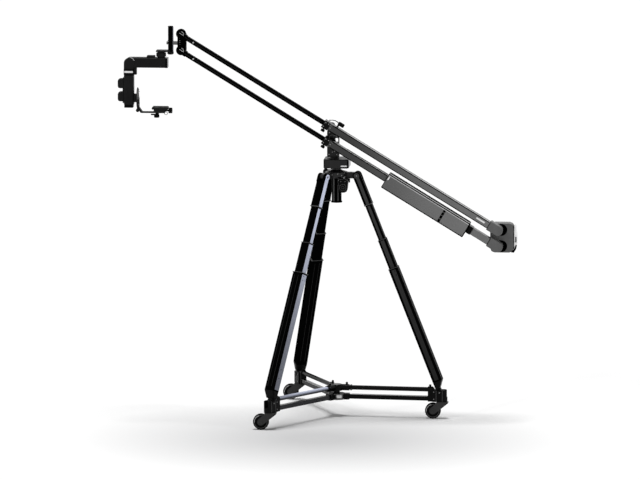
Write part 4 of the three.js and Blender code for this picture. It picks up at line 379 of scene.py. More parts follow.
def clean_corners(group, geometry):
    """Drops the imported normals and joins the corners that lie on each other."""
    drop = group.nodes.new("GeometryNodeRemoveAttribute")
    drop.inputs["Name"].default_value = "custom_normal"
    group.links.new(geometry, drop.inputs["Geometry"])
    merge = group.nodes.new("GeometryNodeMergeByDistance")
    merge.inputs["Distance"].default_value = CORNER_GAP
    group.links.new(drop.outputs["Geometry"], merge.inputs["Geometry"])
    return merge.outputs["Geometry"]


def smooth_faces(group, geometry):
    """Shades faces smooth, apart from across the sharp edges."""
    faces = group.nodes.new("GeometryNodeSetShadeSmooth")
    faces.domain = "FACE"
    faces.inputs["Shade Smooth"].default_value = True
    group.links.new(geometry, faces.inputs["Geometry"])
    angle = group.nodes.new("GeometryNodeInputMeshEdgeAngle")
    blunt = group.nodes.new("FunctionNodeCompare")
    blunt.operation = "LESS_THAN"
    blunt.inputs[1].default_value = SHARP_ANGLE
    group.links.new(angle.outputs["Unsigned Angle"], blunt.inputs[0])
    edges = group.nodes.new("GeometryNodeSetShadeSmooth")
    edges.domain = "EDGE"
    group.links.new(faces.outputs["Geometry"], edges.inputs["Geometry"])
    group.links.new(blunt.outputs[0], edges.inputs["Shade Smooth"])
    return edges.outputs["Geometry"]


CLEAN = node_group("clean_corners", clean_corners)
SMOOTH = node_group("smooth_faces", smooth_faces)


def shade_evenly(obj):
    """Smooth shading by area, with the sharp edges kept."""
    obj.modifiers.new("smooth", "NODES").node_group = SMOOTH
    obj.modifiers.new("normals", "WEIGHTED_NORMAL").keep_sharp = True


def soften(obj):
    """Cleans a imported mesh, rounds its edges and shades it."""
    obj.modifiers.new("clean", "NODES").node_group = CLEAN
    flat = obj.modifiers.new("flat", "DECIMATE")
    flat.decimate_type = "DISSOLVE"
    flat.angle_limit = FLAT_ANGLE
    bevel = obj.modifiers.new("bevel", "BEVEL")
    bevel.width = EDGE_ROUND
    bevel.segments = 2
    bevel.limit_method = "ANGLE"
    bevel.angle_limit = SHARP_ANGLE
    shade_evenly(obj)


for node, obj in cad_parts.items():
    obj.data.materials.clear()
    obj.data.materials.append(MATERIALS[finish_of(node)])
    soften(obj)


# Small pieces that the CAD part leaves to this script: the shapes that they are made of
BEAD_SIDES = 6


def standing(at, axis):
    """The matrix of a form that stands on a point and points along an axis."""
    turn = Vector(axis).to_track_quat("Z", "Y").to_matrix().to_4x4()
    return Matrix.Translation(at) @ turn


def round_outline(size, corner, middle, steps):
    """The (x, z) points of a rectangle with round corners."""
    points = []
    for sx, sz, start in ((1, 1, 0), (-1, 1, 90), (-1, -1, 180), (1, -1, 270)):
        for k in range(steps + 1):
            turn = math.radians(start + 90 * k / steps)
            points.append((middle[0] + sx * (size[0] / 2 - corner) + corner * math.cos(turn),
                           middle[1] + sz * (size[1] / 2 - corner) + corner * math.sin(turn)))
    return points


class Piece:
    """One mesh of shapes in millimetres, put in its place in metres at the end of a with."""

    def __init__(self, name, place, body, finish):
        self.name, self.place, self.body, self.finish = name, place, body, finish
        self.bm = bmesh.new()

    def __enter__(self):
        return self

    def __exit__(self, problem, *details):
        if problem is None:
            self.end()

    def end(self):
        """Makes the object, in metres, and lets it ride on its body."""
        bmesh.ops.recalc_face_normals(self.bm, faces=self.bm.faces)
        self.bm.transform(self.place @ Matrix.Scale(0.001, 4))
        mesh = bpy.data.meshes.new(self.name)
        self.bm.to_mesh(mesh)
        self.bm.free()
        mesh.materials.append(MATERIALS[self.finish])
        obj = bpy.data.objects.new(self.name, mesh)
        scene.collection.objects.link(obj)
        shade_evenly(obj)
        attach(obj, self.body)

    def point(self, place, x, y, z):
        """A new corner of the mesh, at a point of a place."""
        return self.bm.verts.new(place @ Vector((x, y, z)))

    def bridge(self, first, second):
        """Quads between two closed loops of as many points."""
        count = len(first)
        for k in range(count):
            after = (k + 1) % count
            self.bm.faces.new((first[k], first[after], second[after], second[k]))

    def round_edges(self, edges, offset):
        """Rounds edges in two steps."""
        bmesh.ops.bevel(self.bm, geom=edges, offset=offset, segments=2, affect="EDGES", profile=0.5)

    def box(self, low, high, edge=0.3):
        """A box between two corners, all its edges rounded."""
        low, high = Vector(low), Vector(high)
        size = high - low
        place = Matrix.Translation((high + low) / 2) @ Matrix.Diagonal((*size, 1))
        corners = bmesh.ops.create_cube(self.bm, size=1, matrix=place)["verts"]
        edges = list(dict.fromkeys(e for v in corners for e in v.link_edges))
        self.round_edges(edges, min(edge, min(size) * 0.4))

    def slab(self, outline, back, front, edge):
        """An outline of (x, z) points, filled and made thick along Y, with a rounded front."""
        loops = [[self.bm.verts.new((x, y, z)) for x, z in outline] for y in (back, front)]
        self.bm.faces.new(loops[0])
        face = self.bm.faces.new(list(reversed(loops[1])))
        self.bridge(loops[1], loops[0])
        self.round_edges(list(face.edges), edge)

    def plate(self, size, corner, middle, back, front, edge, steps=5):
        """A slab of (length, height) with round corners, round the place middle (x, z)."""
        self.slab(round_outline(size, corner, middle, steps), back, front, edge)

    def collar(self, outer, inner, low, high, x):
        """A rectangular rim: outer and inner are (length, width), round the line at x."""
        loops = []
        for (length, width), z in ((outer, low), (outer, high), (inner, high), (inner, low)):
            loops.append([self.bm.verts.new((x + sx * length / 2, sy * width / 2, z))
                          for sx, sy in ((-1, -1), (1, -1), (1, 1), (-1, 1))])
        for first, second in zip(loops, loops[1:] + loops[:1]):
            self.bridge(first, second)

    def turned(self, profile, at, axis, segments):
        """A lathed form from (radius, height) pairs, standing on a point, along an axis."""
        place = standing(at, axis)
        rings = []
        for radius, height in profile:
            turns = [k * math.tau / segments for k in range(segments if radius else 1)]
            rings.append([
                self.point(place, radius * math.cos(turn), radius * math.sin(turn), height)
                for turn in turns
            ])
        for lower, upper in zip(rings, rings[1:]):
            for k in range(segments):
                a, b = lower[k % len(lower)], lower[(k + 1) % len(lower)]
                c, d = upper[(k + 1) % len(upper)], upper[k % len(upper)]
                corners = list(dict.fromkeys((a, b, c, d)))
                if len(corners) > 2:
                    self.bm.faces.new(corners)

    def disc(self, at, side, top, segments):
        """A flat disc that faces forward, chamfered from side to top, both (radius, height)."""
        profile = ((0, 0), (side[0], 0), side, top, (0, top[1]))
        self.turned(profile, at, FRONT, segments)

    def screw(self, at, axis, radius, proud=1.2):
        """A cap screw: a chamfered head with a round socket in it."""
        self.turned(((0, 0), (radius, 0), (radius, proud * 0.7), (radius * 0.8, proud),
                     (radius * 0.48, proud), (radius * 0.42, proud * 0.4), (0, proud * 0.3)),
                    at, axis, 14)

    def front_screws(self, places, y, radius, proud=1.2):
        """Screws at (x, z) places of a face at y that looks forward."""
        for x, z in places:
            self.screw((x, y, z), FRONT, radius, proud)

    def washer(self, at, axis, outer, inner, proud):
        """A flat ring with chamfered edges."""
        self.turned(((inner, 0), (outer, 0), (outer, proud * 0.7), (outer - 0.3, proud),
                     (inner + 0.3, proud), (inner, proud * 0.7), (inner, 0)), at, axis, 32)

    def arc(self, at, radius, wire, start, end, axis=FRONT, steps=20):
        """A thin raised bead along part of a circle, its angles in degrees."""
        place = standing(at, axis)
        rings = []
        for k in range(steps + 1):
            turn = math.radians(start + (end - start) * k / steps)
            bends = [j * math.tau / BEAD_SIDES for j in range(BEAD_SIDES)]
            reaches = [radius + wire * math.cos(bend) for bend in bends]
            rings.append([
                self.point(place, reach * math.cos(turn), reach * math.sin(turn),
                           wire * math.sin(bend))
                for bend, reach in zip(bends, reaches)
            ])
        for first, second in zip(rings, rings[1:]):
            self.bridge(first, second)
        self.bm.faces.new(rings[0])
        self.bm.faces.new(list(reversed(rings[-1])))


# Beams: pale strips on the top face that paint its reflection, with a dark gap between them, and
# dark lines along the front face's edges
TOP_START = 66
LINE_START = 2
BEAM_END = {"upper": 706, "lower": 248}

for level, height in LEVELS:
    body, end = level + "_beam", BEAM_END[level]
    with Piece(body + "_top_face_painted_reflection", boom(height), body, "trim") as rails:
        for front, back in ((BEAM_FACE + 2.5, BEAM_FACE + 15), (BEAM_BACK - 13, BEAM_BACK - 1.5)):
            rails.box((TOP_START, front, BEAM_TOP - 0.6), (end, back, BEAM_TOP + 0.5))
    with Piece(body + "_dark_lines", boom(height), body, "groove") as lines:
        # The lower line paints the shade of the front face's lower edge
        for low, high in ((BEAM_TOP - 3.6, BEAM_TOP + 0.1), (-BEAM_TOP - 0.1, -BEAM_TOP + 3.4)):
            lines.box((LINE_START, BEAM_FACE - 0.25, low), (end, BEAM_FACE + 2, high))
        lines.box((TOP_START, BEAM_FACE + 16, BEAM_TOP - 0.6),
                  (end, BEAM_BACK - 14, BEAM_TOP + 0.15), 0.2)

# Front clamps: a cheek with a foot, its screws, and the screw of the mast pivot
CLAMP_X = -19
CLAMP_FACE = BEAM_FACE - 2.2

for level, height in LEVELS:
    name, place, body = level + "_front_", boom(height), level + "_beam"
    with Piece(name + "clamp_cheek", place, body, "cast") as cheek:
        cheek.plate((26, 30.4), 6, (CLAMP_X, 0), BEAM_FACE + 1, CLAMP_FACE, 1)
        cheek.box((-33.4, BEAM_FACE - 1, -16.4), (-7, BEAM_FACE + 26, -13.4), 1)
    with Piece(name + "clamp_screws", place, body, "screw") as screws:
        screws.front_screws(((-26, 8.5), (-26, -8.5), (-12.5, 9)), CLAMP_FACE, 2.1)
        screws.arc((CLAMP_X, CLAMP_FACE - 0.1, 0), 9.5, 0.5, 100, 170)
    with Piece(name + "pivot_screw", place, body, "screw") as pivot:
        pivot.screw((0, BEAM_FACE - 8.1, 0), FRONT, 2.2, 1)
        pivot.arc((0, BEAM_FACE - 4.2, 0), 9, 0.4, 60, 150)

# Drive housing: pale lines, of which those on the top face paint its reflection, dark edges, a dark
# seam at the front end and painted shade on the rear end face, vents, the end collar, which also
# paints the housing's shadow on the beam, a plate and screws
LID_START, LID_END = HOUSING_START + 5, HOUSING_END - 5
HOUSING_EDGES = (
    (HOUSING_TOP - 4.3, HOUSING_TOP - 0.3), (HOUSING_LOW + 0.1, HOUSING_LOW + 3.7),
)
VENT_START, VENT_END = 500.4, 510.8
VENTS = ((-34, -22), (-19.5, -7), (-4.5, 6), (8.5, 19))
HOUSING_SCREWS = ((262, -30), (494, -30), (494, 14), (520, -30), (520, 14), (606, -30), (606, 14))
place = boom(LOWER)

with Piece("housing_pale_lines", place, "lower_beam", "trim") as lines:
    lines.box((HOUSING_START + 3, HOUSING_FACE - 0.3, HOUSING_TOP - 7.3),
              (HOUSING_END - 3, HOUSING_FACE + 1, HOUSING_TOP - 4.5), 0.2)
    # Painted reflection: pale strips on the top face
    for front, back in ((-71, -60), (-28, -17)):
        lines.box((LID_START, front, HOUSING_TOP - 0.5), (LID_END, back, HOUSING_TOP + 0.4))
with Piece("housing_dark_lines", place, "lower_beam", "groove") as lines:
    for low, high in HOUSING_EDGES:
        lines.box((HOUSING_START + 1, HOUSING_FACE - 0.35, low),
                  (HOUSING_END - 1, HOUSING_FACE + 2, high), 0.2)
    lines.box((HOUSING_START - 0.4, HOUSING_FACE - 0.3, HOUSING_LOW + 1.5),
              (HOUSING_START + 2.2, HOUSING_FACE + 3, HOUSING_TOP - 1.5))
    # Painted shade: the rear end face, made black
    lines.box((HOUSING_END - 3.5, HOUSING_FACE - 0.4, HOUSING_LOW + 1.5),
              (HOUSING_END + 1.2, -17, HOUSING_TOP - 1.3), 1)
    lines.box((LID_START, -59, HOUSING_TOP - 0.4), (LID_END, -29, HOUSING_TOP + 0.2), 0.2)
    for low, high in VENTS:
        lines.box((VENT_START, HOUSING_FACE - 0.25, low), (VENT_END, HOUSING_FACE + 2, high), 0.5)
# A black collar round the beam; its black also paints the housing's shadow on the beam
with Piece("housing_collar_and_shadow", place, "lower_beam", "gloss") as collar:
    collar.box((616.3, -65, -15.5), (635, -18, 15.5), 2)
    collar.box((620, -66.2, -10), (631, -63, 10), 0.8)
with Piece("housing_bare_plate", place, "lower_beam", "plate") as bare:
    bare.plate((4.6, 15), 1, (258.5, 8), HOUSING_FACE + 0.2, HOUSING_FACE - 0.5, 0.2)
with Piece("housing_screws", place, "lower_beam", "glint") as screws:
    screws.front_screws(HOUSING_SCREWS, HOUSING_FACE, 1.8, 0.7)
with Piece("beam_bare_plate", boom(UPPER), "upper_beam", "plate") as bare:
    bare.plate((37, 6), 1, (674, 1), BEAM_FACE + 0.4, BEAM_FACE - 0.5, 0.2)

# Rear ends: the gap before each socket, its rim and screws
SOCKET_START = 709.2

for level, height in LEVELS:
    place, body = boom(height), level + "_beam"
    with Piece(level + "_socket_gap", place, body, "groove") as gap:
        gap.box((SOCKET_START, BEAM_FACE - 0.4, -14.4),
                (SOCKET_START + 2.4, BEAM_BACK - 2, 14.2), 0.4)
    with Piece(level + "_socket_rim", place, body, "glint") as rim:
        rim.arc((REAR_REACH, BEAM_FACE + 0.2, 0), 17.4, 0.6, -80, 80)
        rim.front_screws(((717, -12), (717, 12)), BEAM_FACE, 1.7, 0.7)

# Rear link: dark discs behind the sockets that paint the sockets' shadows on the link, the latch
# and the seam of its pale cover
LATCH_HOOK = (
    (50, -25), (60, -25.4), (68, -13), (71, 3), (66.5, 3), (62, -10), (57, -18), (50, -19),
)

for level, z in (("lower", 0), ("upper", PIVOT_SPACING)):
    with Piece("rear_dish_" + level, REAR_LINK, "rear_link", "groove") as shadow_disc:
        shadow_disc.disc((11, LINK_FACE + 0.05, z - 1), (23, 0.2), (22, 0.35), 40)
with Piece("rear_cover_latch", REAR_LINK, "rear_link", "gloss") as latch:
    latch.box((65.5, LINK_FACE - 0.2, 14), (69.5, 12, 35), 0.6)
    latch.slab(LATCH_HOOK, 14, LINK_FACE - 0.4, 0.6)
with Piece("rear_cover_seam", REAR_LINK, "rear_link", "groove") as seam:
    seam.box((58.6, LINK_FACE - 0.3, -14), (59.8, 26, 78))

# Mast: bolts, a raised arc, and a round boss behind the lower pivot
MAST_BOLTS = ((-15, 1025), (-7, 1028), (-28, 1016), (2, 1016), (-27, 1100), (4, 1092))

with Piece("mast_bolts", CENTRE, "turret", "screw") as bolts:
    bolts.front_screws(MAST_BOLTS, MAST_FACE, 2.2)
    bolts.arc((-13, MAST_FACE, 1071), 20, 0.7, 20, 150)
with Piece("mast_lower_boss", CENTRE, "turret", "gloss") as boss:
    boss.disc((PIVOT_X, MAST_FACE, LOWER), (19, 2.6), (17, 4), 40)

# Pan base: dark seams, the side plate, whose black also paints the shade on the base's right side,
# and a bare plate
with Piece("base_dark_seams", CENTRE, "turret", "groove") as seams:
    for x in (-46.6, 44.4):
        seams.box((x, BASE_FACE - 0.3, BASE_BOTTOM + 2),
                  (x + 2.2, BASE_FACE + 2, BASE_TOP - 2), 0.4)
    seams.box((-44, BASE_FACE - 0.2, BASE_TOP - 2.6), (44, BASE_FACE + 1.5, BASE_TOP - 1.4), 0.2)
with Piece("base_side_shade_plate", CENTRE, "turret", "gloss") as side:
    side.box((46.6, -45, BASE_BOTTOM + 1.5), (50.3, 45, BASE_TOP - 4), 1.4)
with Piece("base_bare_plate", CENTRE, "turret", "plate") as bare:
    bare.plate((23, 4.6), 1, (31, BASE_BOTTOM + 9.5), BASE_FACE + 0.2, BASE_FACE - 0.6, 0.2)

# Crown hinges: a clip ring, a bolt and a bead on both sides of each, and a bolt on its lug. The
# clip rings take their leg's face finish and so its painted light
LUG_BOLT = (56, 0, 948)

for index, name in enumerate(ARM_NAMES):
    with Piece("hinge_clips_" + name, arm(index), "crown", "leg_face_" + name) as clips:
        for way in (-1, 1):
            hinge = (HINGE_RADIUS, way * HINGE_SIDE, HINGE_HEIGHT)
            clips.washer(hinge, (0, way, 0), 10.5, 4.4, 0.7)
    with Piece("crown_bolts_" + name, arm(index), "crown", "screw") as bolts:
        for way in (-1, 1):
            hinge = (HINGE_RADIUS, way * (HINGE_SIDE + 0.25), HINGE_HEIGHT)
            bolts.screw(hinge, (0, way, 0), 2.6, 1)
            bolts.arc(hinge, 6.4, 0.4, 40, 150, (0, way, 0))
        bolts.screw(LUG_BOLT, UP, 2.6)

# Under the crown: pale strips on the centre column that paint its highlights, rings and screws on
# the control box, and screws round the front of the crown
STRIP_LOW, STRIP_HIGH = 836, 925
CROWN_SCREWS = ((-26, 941), (-14, 941), (8, 944), (22, 938), (31, 946))
CONTROL_SCREWS = ((11, 921), (45, 921), (20, 917), (37, 917))
CONTROL_DIAL = (28, CONTROL_FACE - 2, 894)

with Piece("column_painted_highlights", CENTRE, "crown", "glint") as strips:
    strips.box((-11, -18.6, STRIP_LOW), (-7.4, -14, STRIP_HIGH), 0.5)
    strips.box((5.6, -20, STRIP_LOW), (7.8, -15, STRIP_HIGH), 0.4)
with Piece("control_rings", CENTRE, "crown", "glint") as rings:
    rings.arc(CONTROL_DIAL, 12.5, 0.4, 0, 360, steps=36)
    rings.arc(CONTROL_DIAL, 5.5, 0.4, 0, 360, steps=24)
    rings.front_screws(CONTROL_SCREWS, CONTROL_FACE - 0.4, 1.9)
with Piece("crown_marks", CENTRE, "crown", "screw") as marks:
    for x, z in CROWN_SCREWS:
        y = -math.sqrt(CROWN_RADIUS ** 2 - x ** 2)
        marks.screw((x, y + 0.4, z), (x, y, 0), 2.2)

# Legs: inlaid side faces, rims at the tops of the tubes, dots, seams and a band at the hinge end.
# The inlays' colour is painted light, a copy of the face finish for each leg.
# A stage is its name, its body, its side, half its inlay's width, and the inlay's two ends. A rim
# is its stage, its body, its outer and inner (length, width), and its height.
LEG_STAGES = (
    ("low", "leg_low_", 23.75, 13.4, 50, 506), ("middle", "leg_middle_", 19.25, 11.6, 508, 626),
    ("top", "leg_top_", 16.25, 8, 626, 769), ("head", "leg_top_", 17.75, 9.5, 776, 890),
)
LEG_RIMS = (
    ("low", "leg_low_", (39, 49), (33, 39.6), 511.2),
    ("middle", "leg_middle_", (33.4, 40), (27.4, 33.6), 629.2),
)
INLAY_SHARE = {"rear": 0.62, "front": 1, "back": 1}
INLAY_PROUD = 0.2
FRONT_INLAY_SHIFT = {"low": 0, "middle": 0, "top": -2.5, "head": -2.5}
DOT_HEIGHTS = (500, 484, 130, 96)
SEAM_LOW, SEAM_HIGH = 60, 500

for index, name in enumerate(ARM_NAMES):
    place = leg(index)
    for stage, body, side, half, low, high in LEG_STAGES:
        x = LEG_SET_OUT + (FRONT_INLAY_SHIFT[stage] if name == "front" else 0)
        size = (2 * half * INLAY_SHARE[name], high - low)
        inlay_name = f"leg_inlay_{stage}_{name}"
        # The inlay's finish paints this leg's light: a painted reflection on the front leg, grey
        # lighter towards the top on the rear leg, painted shade on the back leg
        with Piece(inlay_name, place, body + name, "leg_face_" + name) as inlay:
            for way in (-1, 1):
                inlay.plate(size, 1.5, (x, (low + high) / 2), way * (side - 0.3),
                            way * (side + INLAY_PROUD), 0.08, 3)
    for stage, body, outer, inner, z in LEG_RIMS:
        with Piece(f"leg_rim_{stage}_{name}", place, body + name, "rim") as rim:
            rim.collar(outer, inner, z, z + 1.6, LEG_SET_OUT)
    with Piece("leg_dots_" + name, place, "leg_low_" + name, "gloss") as dots:
        for way in (-1, 1):
            for z in DOT_HEIGHTS:
                dots.screw((LEG_SET_OUT + 4, way * 23.9, z), (0, way, 0), 1.9, 0.6)
    with Piece("leg_seams_" + name, place, "leg_low_" + name, "mast") as seams:
        for y in (-9, 9):
            for x in (28, -9.5):
                seams.box((x, y - 0.6, SEAM_LOW), (x + 0.5, y + 0.6, SEAM_HIGH), 0.1)
    with Piece("leg_head_band_" + name, place, "leg_top_" + name, "glint") as band:
        band.collar((32.6, 37.2), (30.4, 35), 773.4, 775.4, LEG_SET_OUT)

# Hub: the frame of its window, a ring round each of its two edges, and a bare plate
HUB_RING_LOW = ((32, 0), (33.8, 0.4), (34.2, 1.5), (34.2, 4), (33.8, 5), (32, 5.4), (32, 0))
HUB_RING_HIGH = ((32, 0), (33.6, 0.4), (33.8, 1.5), (33.6, 2.6), (32, 3), (32, 0))
HUB_WINDOW = (13, 80)

with Piece("hub_window_frame", CENTRE, "dolly", "glint") as window:
    window.plate((27, 17), 7, HUB_WINDOW, -28, -35.5, 1.5)
    window.turned(HUB_RING_LOW, (0, 0, 65.4), UP, 60)
    window.turned(HUB_RING_HIGH, (0, 0, 85.4), UP, 60)
with Piece("hub_bare_plate", CENTRE, "dolly", "plate") as bare:
    bare.plate((19, 11.5), 3, HUB_WINDOW, -35, -37, 0.4)

# Dolly arms: bolts, grooves of the corner blocks, pale lines on the rails' top edges that paint
# their highlights (greyer on the front arm), rings on the tie tubes
TIE_RING = ((9.1, 0), (11.4, 0), (11.8, 1), (11.8, 5), (11.4, 6), (9.1, 6), (9.1, 0))
BLOCK_BOLT_X = 380
RAIL_START, RAIL_END = 60, 352

for index, name in enumerate(ARM_NAMES):
    place = arm(index)
    with Piece("dolly_bolts_" + name, place, "dolly", "screw") as bolts:
        for way in (-1, 1):
            bolts.screw((ANKLE_RADIUS, way * ANKLE_SIDE, ANKLE_HEIGHT), (0, way, 0), 2.4)
            for z in (76, 104):
                bolts.screw((BLOCK_BOLT_X, way * BLOCK_SIDE, z), (0, way, 0), 2)
        bolts.screw((40, 0, 131.4), UP, 3)
    with Piece("block_grooves_" + name, place, "dolly", "rim") as grooves:
        for way in (-1, 1):
            y = way * (BLOCK_SIDE + 0.2)
            for x in (388, 412):
                grooves.box((x, y - 0.3, 68), (x + 2, y + 0.3, 110), 0.1)
    highlight_finish = "glint" if name == "front" else "trim"
    with Piece("rail_edge_highlights_" + name, place, "dolly", highlight_finish) as edges:
        for y in (-RAIL_EDGE, RAIL_EDGE):
            edges.box((RAIL_START, y - 0.5, RAIL_TOP - 0.35),
                      (RAIL_END, y + 0.5, RAIL_TOP + 0.35), 0.2)
    with Piece("tie_rings_" + name, place, "dolly", "gloss") as rings:
        for x in (54, 362):
            rings.turned(TIE_RING, (x, 0, TIE_HEIGHT), ALONG, 30)

# Casters: a rim and a pale arc on both sides of each wheel, the arc a painted highlight, and two
# raised treads
TREAD = ((30.2, 0), (30.4, 0.3), (30.4, 1.2), (30.2, 1.5), (29.9, 0.7), (30.2, 0))

for index, name in enumerate(ARM_NAMES):
    turn = FIRST_ARM_TURN + index * ARM_STEP
    x, y = CASTER_PATH * math.cos(turn) - CASTER_TRAIL, CASTER_PATH * math.sin(turn)
    body = "caster_wheel_" + name
    with Piece("wheel_rims_" + name, CENTRE, body, "rim") as rims:
        for way in (-1, 1):
            side = y + way * WHEEL_SIDE
            rims.washer((x, side, WHEEL_RADIUS), (0, way, 0), 25.5, 23.5, 0.6)
    with Piece("wheel_highlight_arcs_" + name, CENTRE, body, "trim") as edges:
        for way in (-1, 1):
            side = y + way * (WHEEL_SIDE + 0.4)
            edges.arc((x, side, WHEEL_RADIUS), 24.5, 1, 105, 185, (0, way, 0))
    with Piece("wheel_treads_" + name, CENTRE, body, "rubber") as treads:
        for aside in (-5, 3.5):
            treads.turned(TREAD, (x, y + aside, WHEEL_RADIUS), (0, 1, 0), 56)

# Head arm: the elbow's disc and a pale arc on its edge that paints a highlight, glossy bands, a
# bare band, ribs on the bumps
ELBOW_X, ELBOW_Z = -121.5, -20.5
BUMPS_Z = (-100.5, -151)

with Piece("elbow_disc", HEAD, "head_arm", "head") as disc:
    disc.disc((ELBOW_X, HEAD_ARM_FACE, ELBOW_Z), (20.5, 0.9), (19.6, 1.5), 48)
with Piece("elbow_highlight_arc", HEAD, "head_arm", "trim") as edge:
    edge.arc((ELBOW_X, HEAD_ARM_FACE - 0.6, ELBOW_Z), 22, 0.9, 25, 78)
with Piece("arm_gloss_bands", HEAD, "head_arm", "gloss") as bands:
    bands.box((-142.9, HEAD_ARM_FACE - 0.5, -66), (-105.1, -HEAD_ARM_FACE + 0.5, -43), 1.2)
    bands.box((17.5, HEAD_ARM_FACE - 0.5, -38.3), (26.4, -HEAD_ARM_FACE + 0.5, 0.3), 0.6)
with Piece("drop_bare_band", HEAD, "head_arm", "plate") as band:
    band.plate((33, 7), 1, (-124, -54.5), HEAD_ARM_FACE - 0.2, HEAD_ARM_FACE - 1, 0.2)
with Piece("bump_ribs", HEAD, "head_arm", "mast") as ribs:
    for bump in BUMPS_Z:
        for step in (-9, -3, 3, 9):
            z = bump + step
            ribs.box((BUMP_FACE - 1.7, -9, z - 0.7), (BUMP_FACE + 1.5, 9, z + 0.7))

# Tilt bracket and camera plate: a circle of screws, the knob of the clamp's lever, a thin pad
TILT_SCREWS = 8
TILT_CIRCLE = 32
TILT_Z = -157
LEVER_KNOB = (
    (0, -18.5), (9, -18.5), (10.5, -16.5), (10.5, -9), (8, -6), (5, -4.5), (5, -1), (0, -1),
)

with Piece("tilt_disc_screws", HEAD, "tilt_bracket", "screw") as screws:
    for k in range(TILT_SCREWS):
        turn = k * math.tau / TILT_SCREWS
        y, z = TILT_CIRCLE * math.cos(turn), TILT_Z + TILT_CIRCLE * math.sin(turn)
        screws.screw((-86.6, y, z), ALONG, 2.2)
with Piece("lever_knob", HEAD, "plate_lever", "plastic") as knob:
    knob.turned(LEVER_KNOB, (-18, 0, -213.5), UP, 24)
with Piece("plate_pad", HEAD, "tilt_bracket", "rubber") as pad:
    pad.plate((58, 1.6), 0.6, (-4, -190.6), -23, 23, 0.2)

# Front link and tubes: a row of small screws, a screw and a thin line on each tube, and a pale arc
# and a pale streak on each pivot cap that paint its highlights
SCREW_ROW = ((-5, 14), (-5, 21.5), (-5, 29), (-5, 36.5), (-5, 44))

with Piece("link_hole_row", FRONT_LINK, "front_link", "screw") as row:
    row.front_screws(SCREW_ROW, LINK_FACE, 1.3, 0.5)
for level, height in LEVELS:
    with Piece(level + "_tube_screw", boom(height), level + "_tube", "trim") as pin:
        pin.screw((-617, TUBE_FACE, 0), FRONT, 3, 0.9)
    with Piece(level + "_tube_line", boom(height), level + "_tube", "head") as line:
        line.box((-655, TUBE_FACE - 0.12, -0.9), (-40, TUBE_FACE + 0.5, 1.3), 0.1)
for level, z in (("lower", 0), ("upper", PIVOT_SPACING)):
    streak = ((-3.3, z + 6), (-2.7, z + 7.2), (13.3, z - 2.6), (12.7, z - 3.8))
    with Piece(level + "_front_cap_ring", FRONT_LINK, "front_link", "trim") as ring:
        ring.arc((0, CAP_FACE, z), 13, 0.7, 0, 68)
        ring.slab(streak, CAP_FACE + 0.6, CAP_FACE - 0.6, 0.2)

# Post: a blue-grey strip along its right side that paints its highlight, and rings at its ends and
# middle
POST_X, POST_Y = -42.6, -5.4

with Piece("post_painted_highlight", FRONT_LINK, "head_post", "blue_painted_highlight") as strip:
    strip.box((-34.4, -9.5, -10), (-31.3, -1.5, 88), 0.7)
with Piece("post_rings", FRONT_LINK, "head_post", "gloss") as rings:
    rings.washer((POST_X, POST_Y, 88.8), UP, 10.4, 8, 1.6)
    rings.turned(((9.8, 0), (11.3, 0.4), (11.3, 3.6), (9.8, 4)), (POST_X, POST_Y, -16), UP, 36)
    rings.turned(((9.8, 0), (11, 0.4), (11, 2.6), (9.8, 3)), (POST_X, POST_Y, 34), UP, 36)

# Floor, world and lamps
FLOOR_SIZE = 60
# Painted shade on the floor: the colour near the part, fading to the far colour away from it
FLOOR_PAINTED_SHADE = (0.57, 0.57, 0.575, 1)
FLOOR_FAR = (0.93, 0.93, 0.93, 1)
FLOOR_STRETCH = (1, 1.15, 1)
FLOOR_SHIFT = (-0.05, 0.62, 0)
FADE_START, FADE_END = 0.1, 0.95
AMBIENT = 0.27


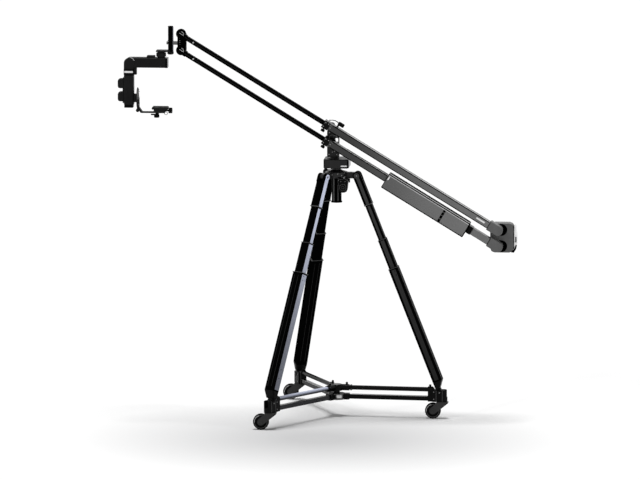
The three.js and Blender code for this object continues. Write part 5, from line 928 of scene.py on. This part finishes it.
def make_floor():
    """A plain floor with painted shade: darker near the part, paler away from it."""
    bm = bmesh.new()
    bmesh.ops.create_grid(bm, x_segments=2, y_segments=2, size=FLOOR_SIZE)
    mesh = bpy.data.meshes.new("floor")
    bm.to_mesh(mesh)
    bm.free()
    floor = bpy.data.objects.new("floor", mesh)
    sheet = Sheet("white_floor_painted_shade")
    distance = sheet.add("ShaderNodeVectorMath", operation="LENGTH")
    sheet.link(sheet.place(FLOOR_STRETCH, FLOOR_SHIFT), distance.inputs[0])
    away = sheet.spread(distance.outputs["Value"], 0, 1, FADE_START, FADE_END)
    sheet.link(sheet.blend(away, FLOOR_PAINTED_SHADE, FLOOR_FAR), sheet.shader.inputs["Base Color"])
    sheet.shader.inputs["Roughness"].default_value = 0.9
    sheet.shader.inputs["Specular IOR Level"].default_value = 0.0
    mesh.materials.append(sheet.material)
    scene.collection.objects.link(floor)


def make_world():
    """A soft even light, seen as white by the camera and in reflections."""
    world = bpy.data.worlds.new("studio")
    scene.world = world
    world.use_nodes = True
    tree = world.node_tree
    light, white = tree.nodes["Background"], tree.nodes.new("ShaderNodeBackground")
    for node, strength in ((light, AMBIENT), (white, 1.0)):
        node.inputs["Color"].default_value = (1, 1, 1, 1)
        node.inputs["Strength"].default_value = strength
    path = tree.nodes.new("ShaderNodeLightPath")
    seen = path.outputs["Is Camera Ray"]
    for name in ("Is Glossy Ray", "Is Transmission Ray"):
        either = tree.nodes.new("ShaderNodeMath")
        either.operation = "MAXIMUM"
        tree.links.new(seen, either.inputs[0])
        tree.links.new(path.outputs[name], either.inputs[1])
        seen = either.outputs[0]
    mix = tree.nodes.new("ShaderNodeMixShader")
    for socket, output in zip(mix.inputs, (seen, light.outputs[0], white.outputs[0])):
        tree.links.new(output, socket)
    tree.links.new(mix.outputs[0], tree.nodes["World Output"].inputs["Surface"])


def make_sun(name, azimuth, elevation, strength, softness):
    data = bpy.data.lights.new(name, "SUN")
    data.energy = strength
    data.angle = math.radians(softness)
    lamp = bpy.data.objects.new(name, data)
    lamp.rotation_mode = "QUATERNION"
    lamp.rotation_quaternion = towards(azimuth, elevation).to_track_quat("Z", "Y")
    scene.collection.objects.link(lamp)


make_floor()
make_world()
make_sun("top_light", 0, 90, 2.4, 20)
make_sun("key_light", -42, 35, 0.3, 6)
make_sun("side_light", 62, 14, 0.35, 20)
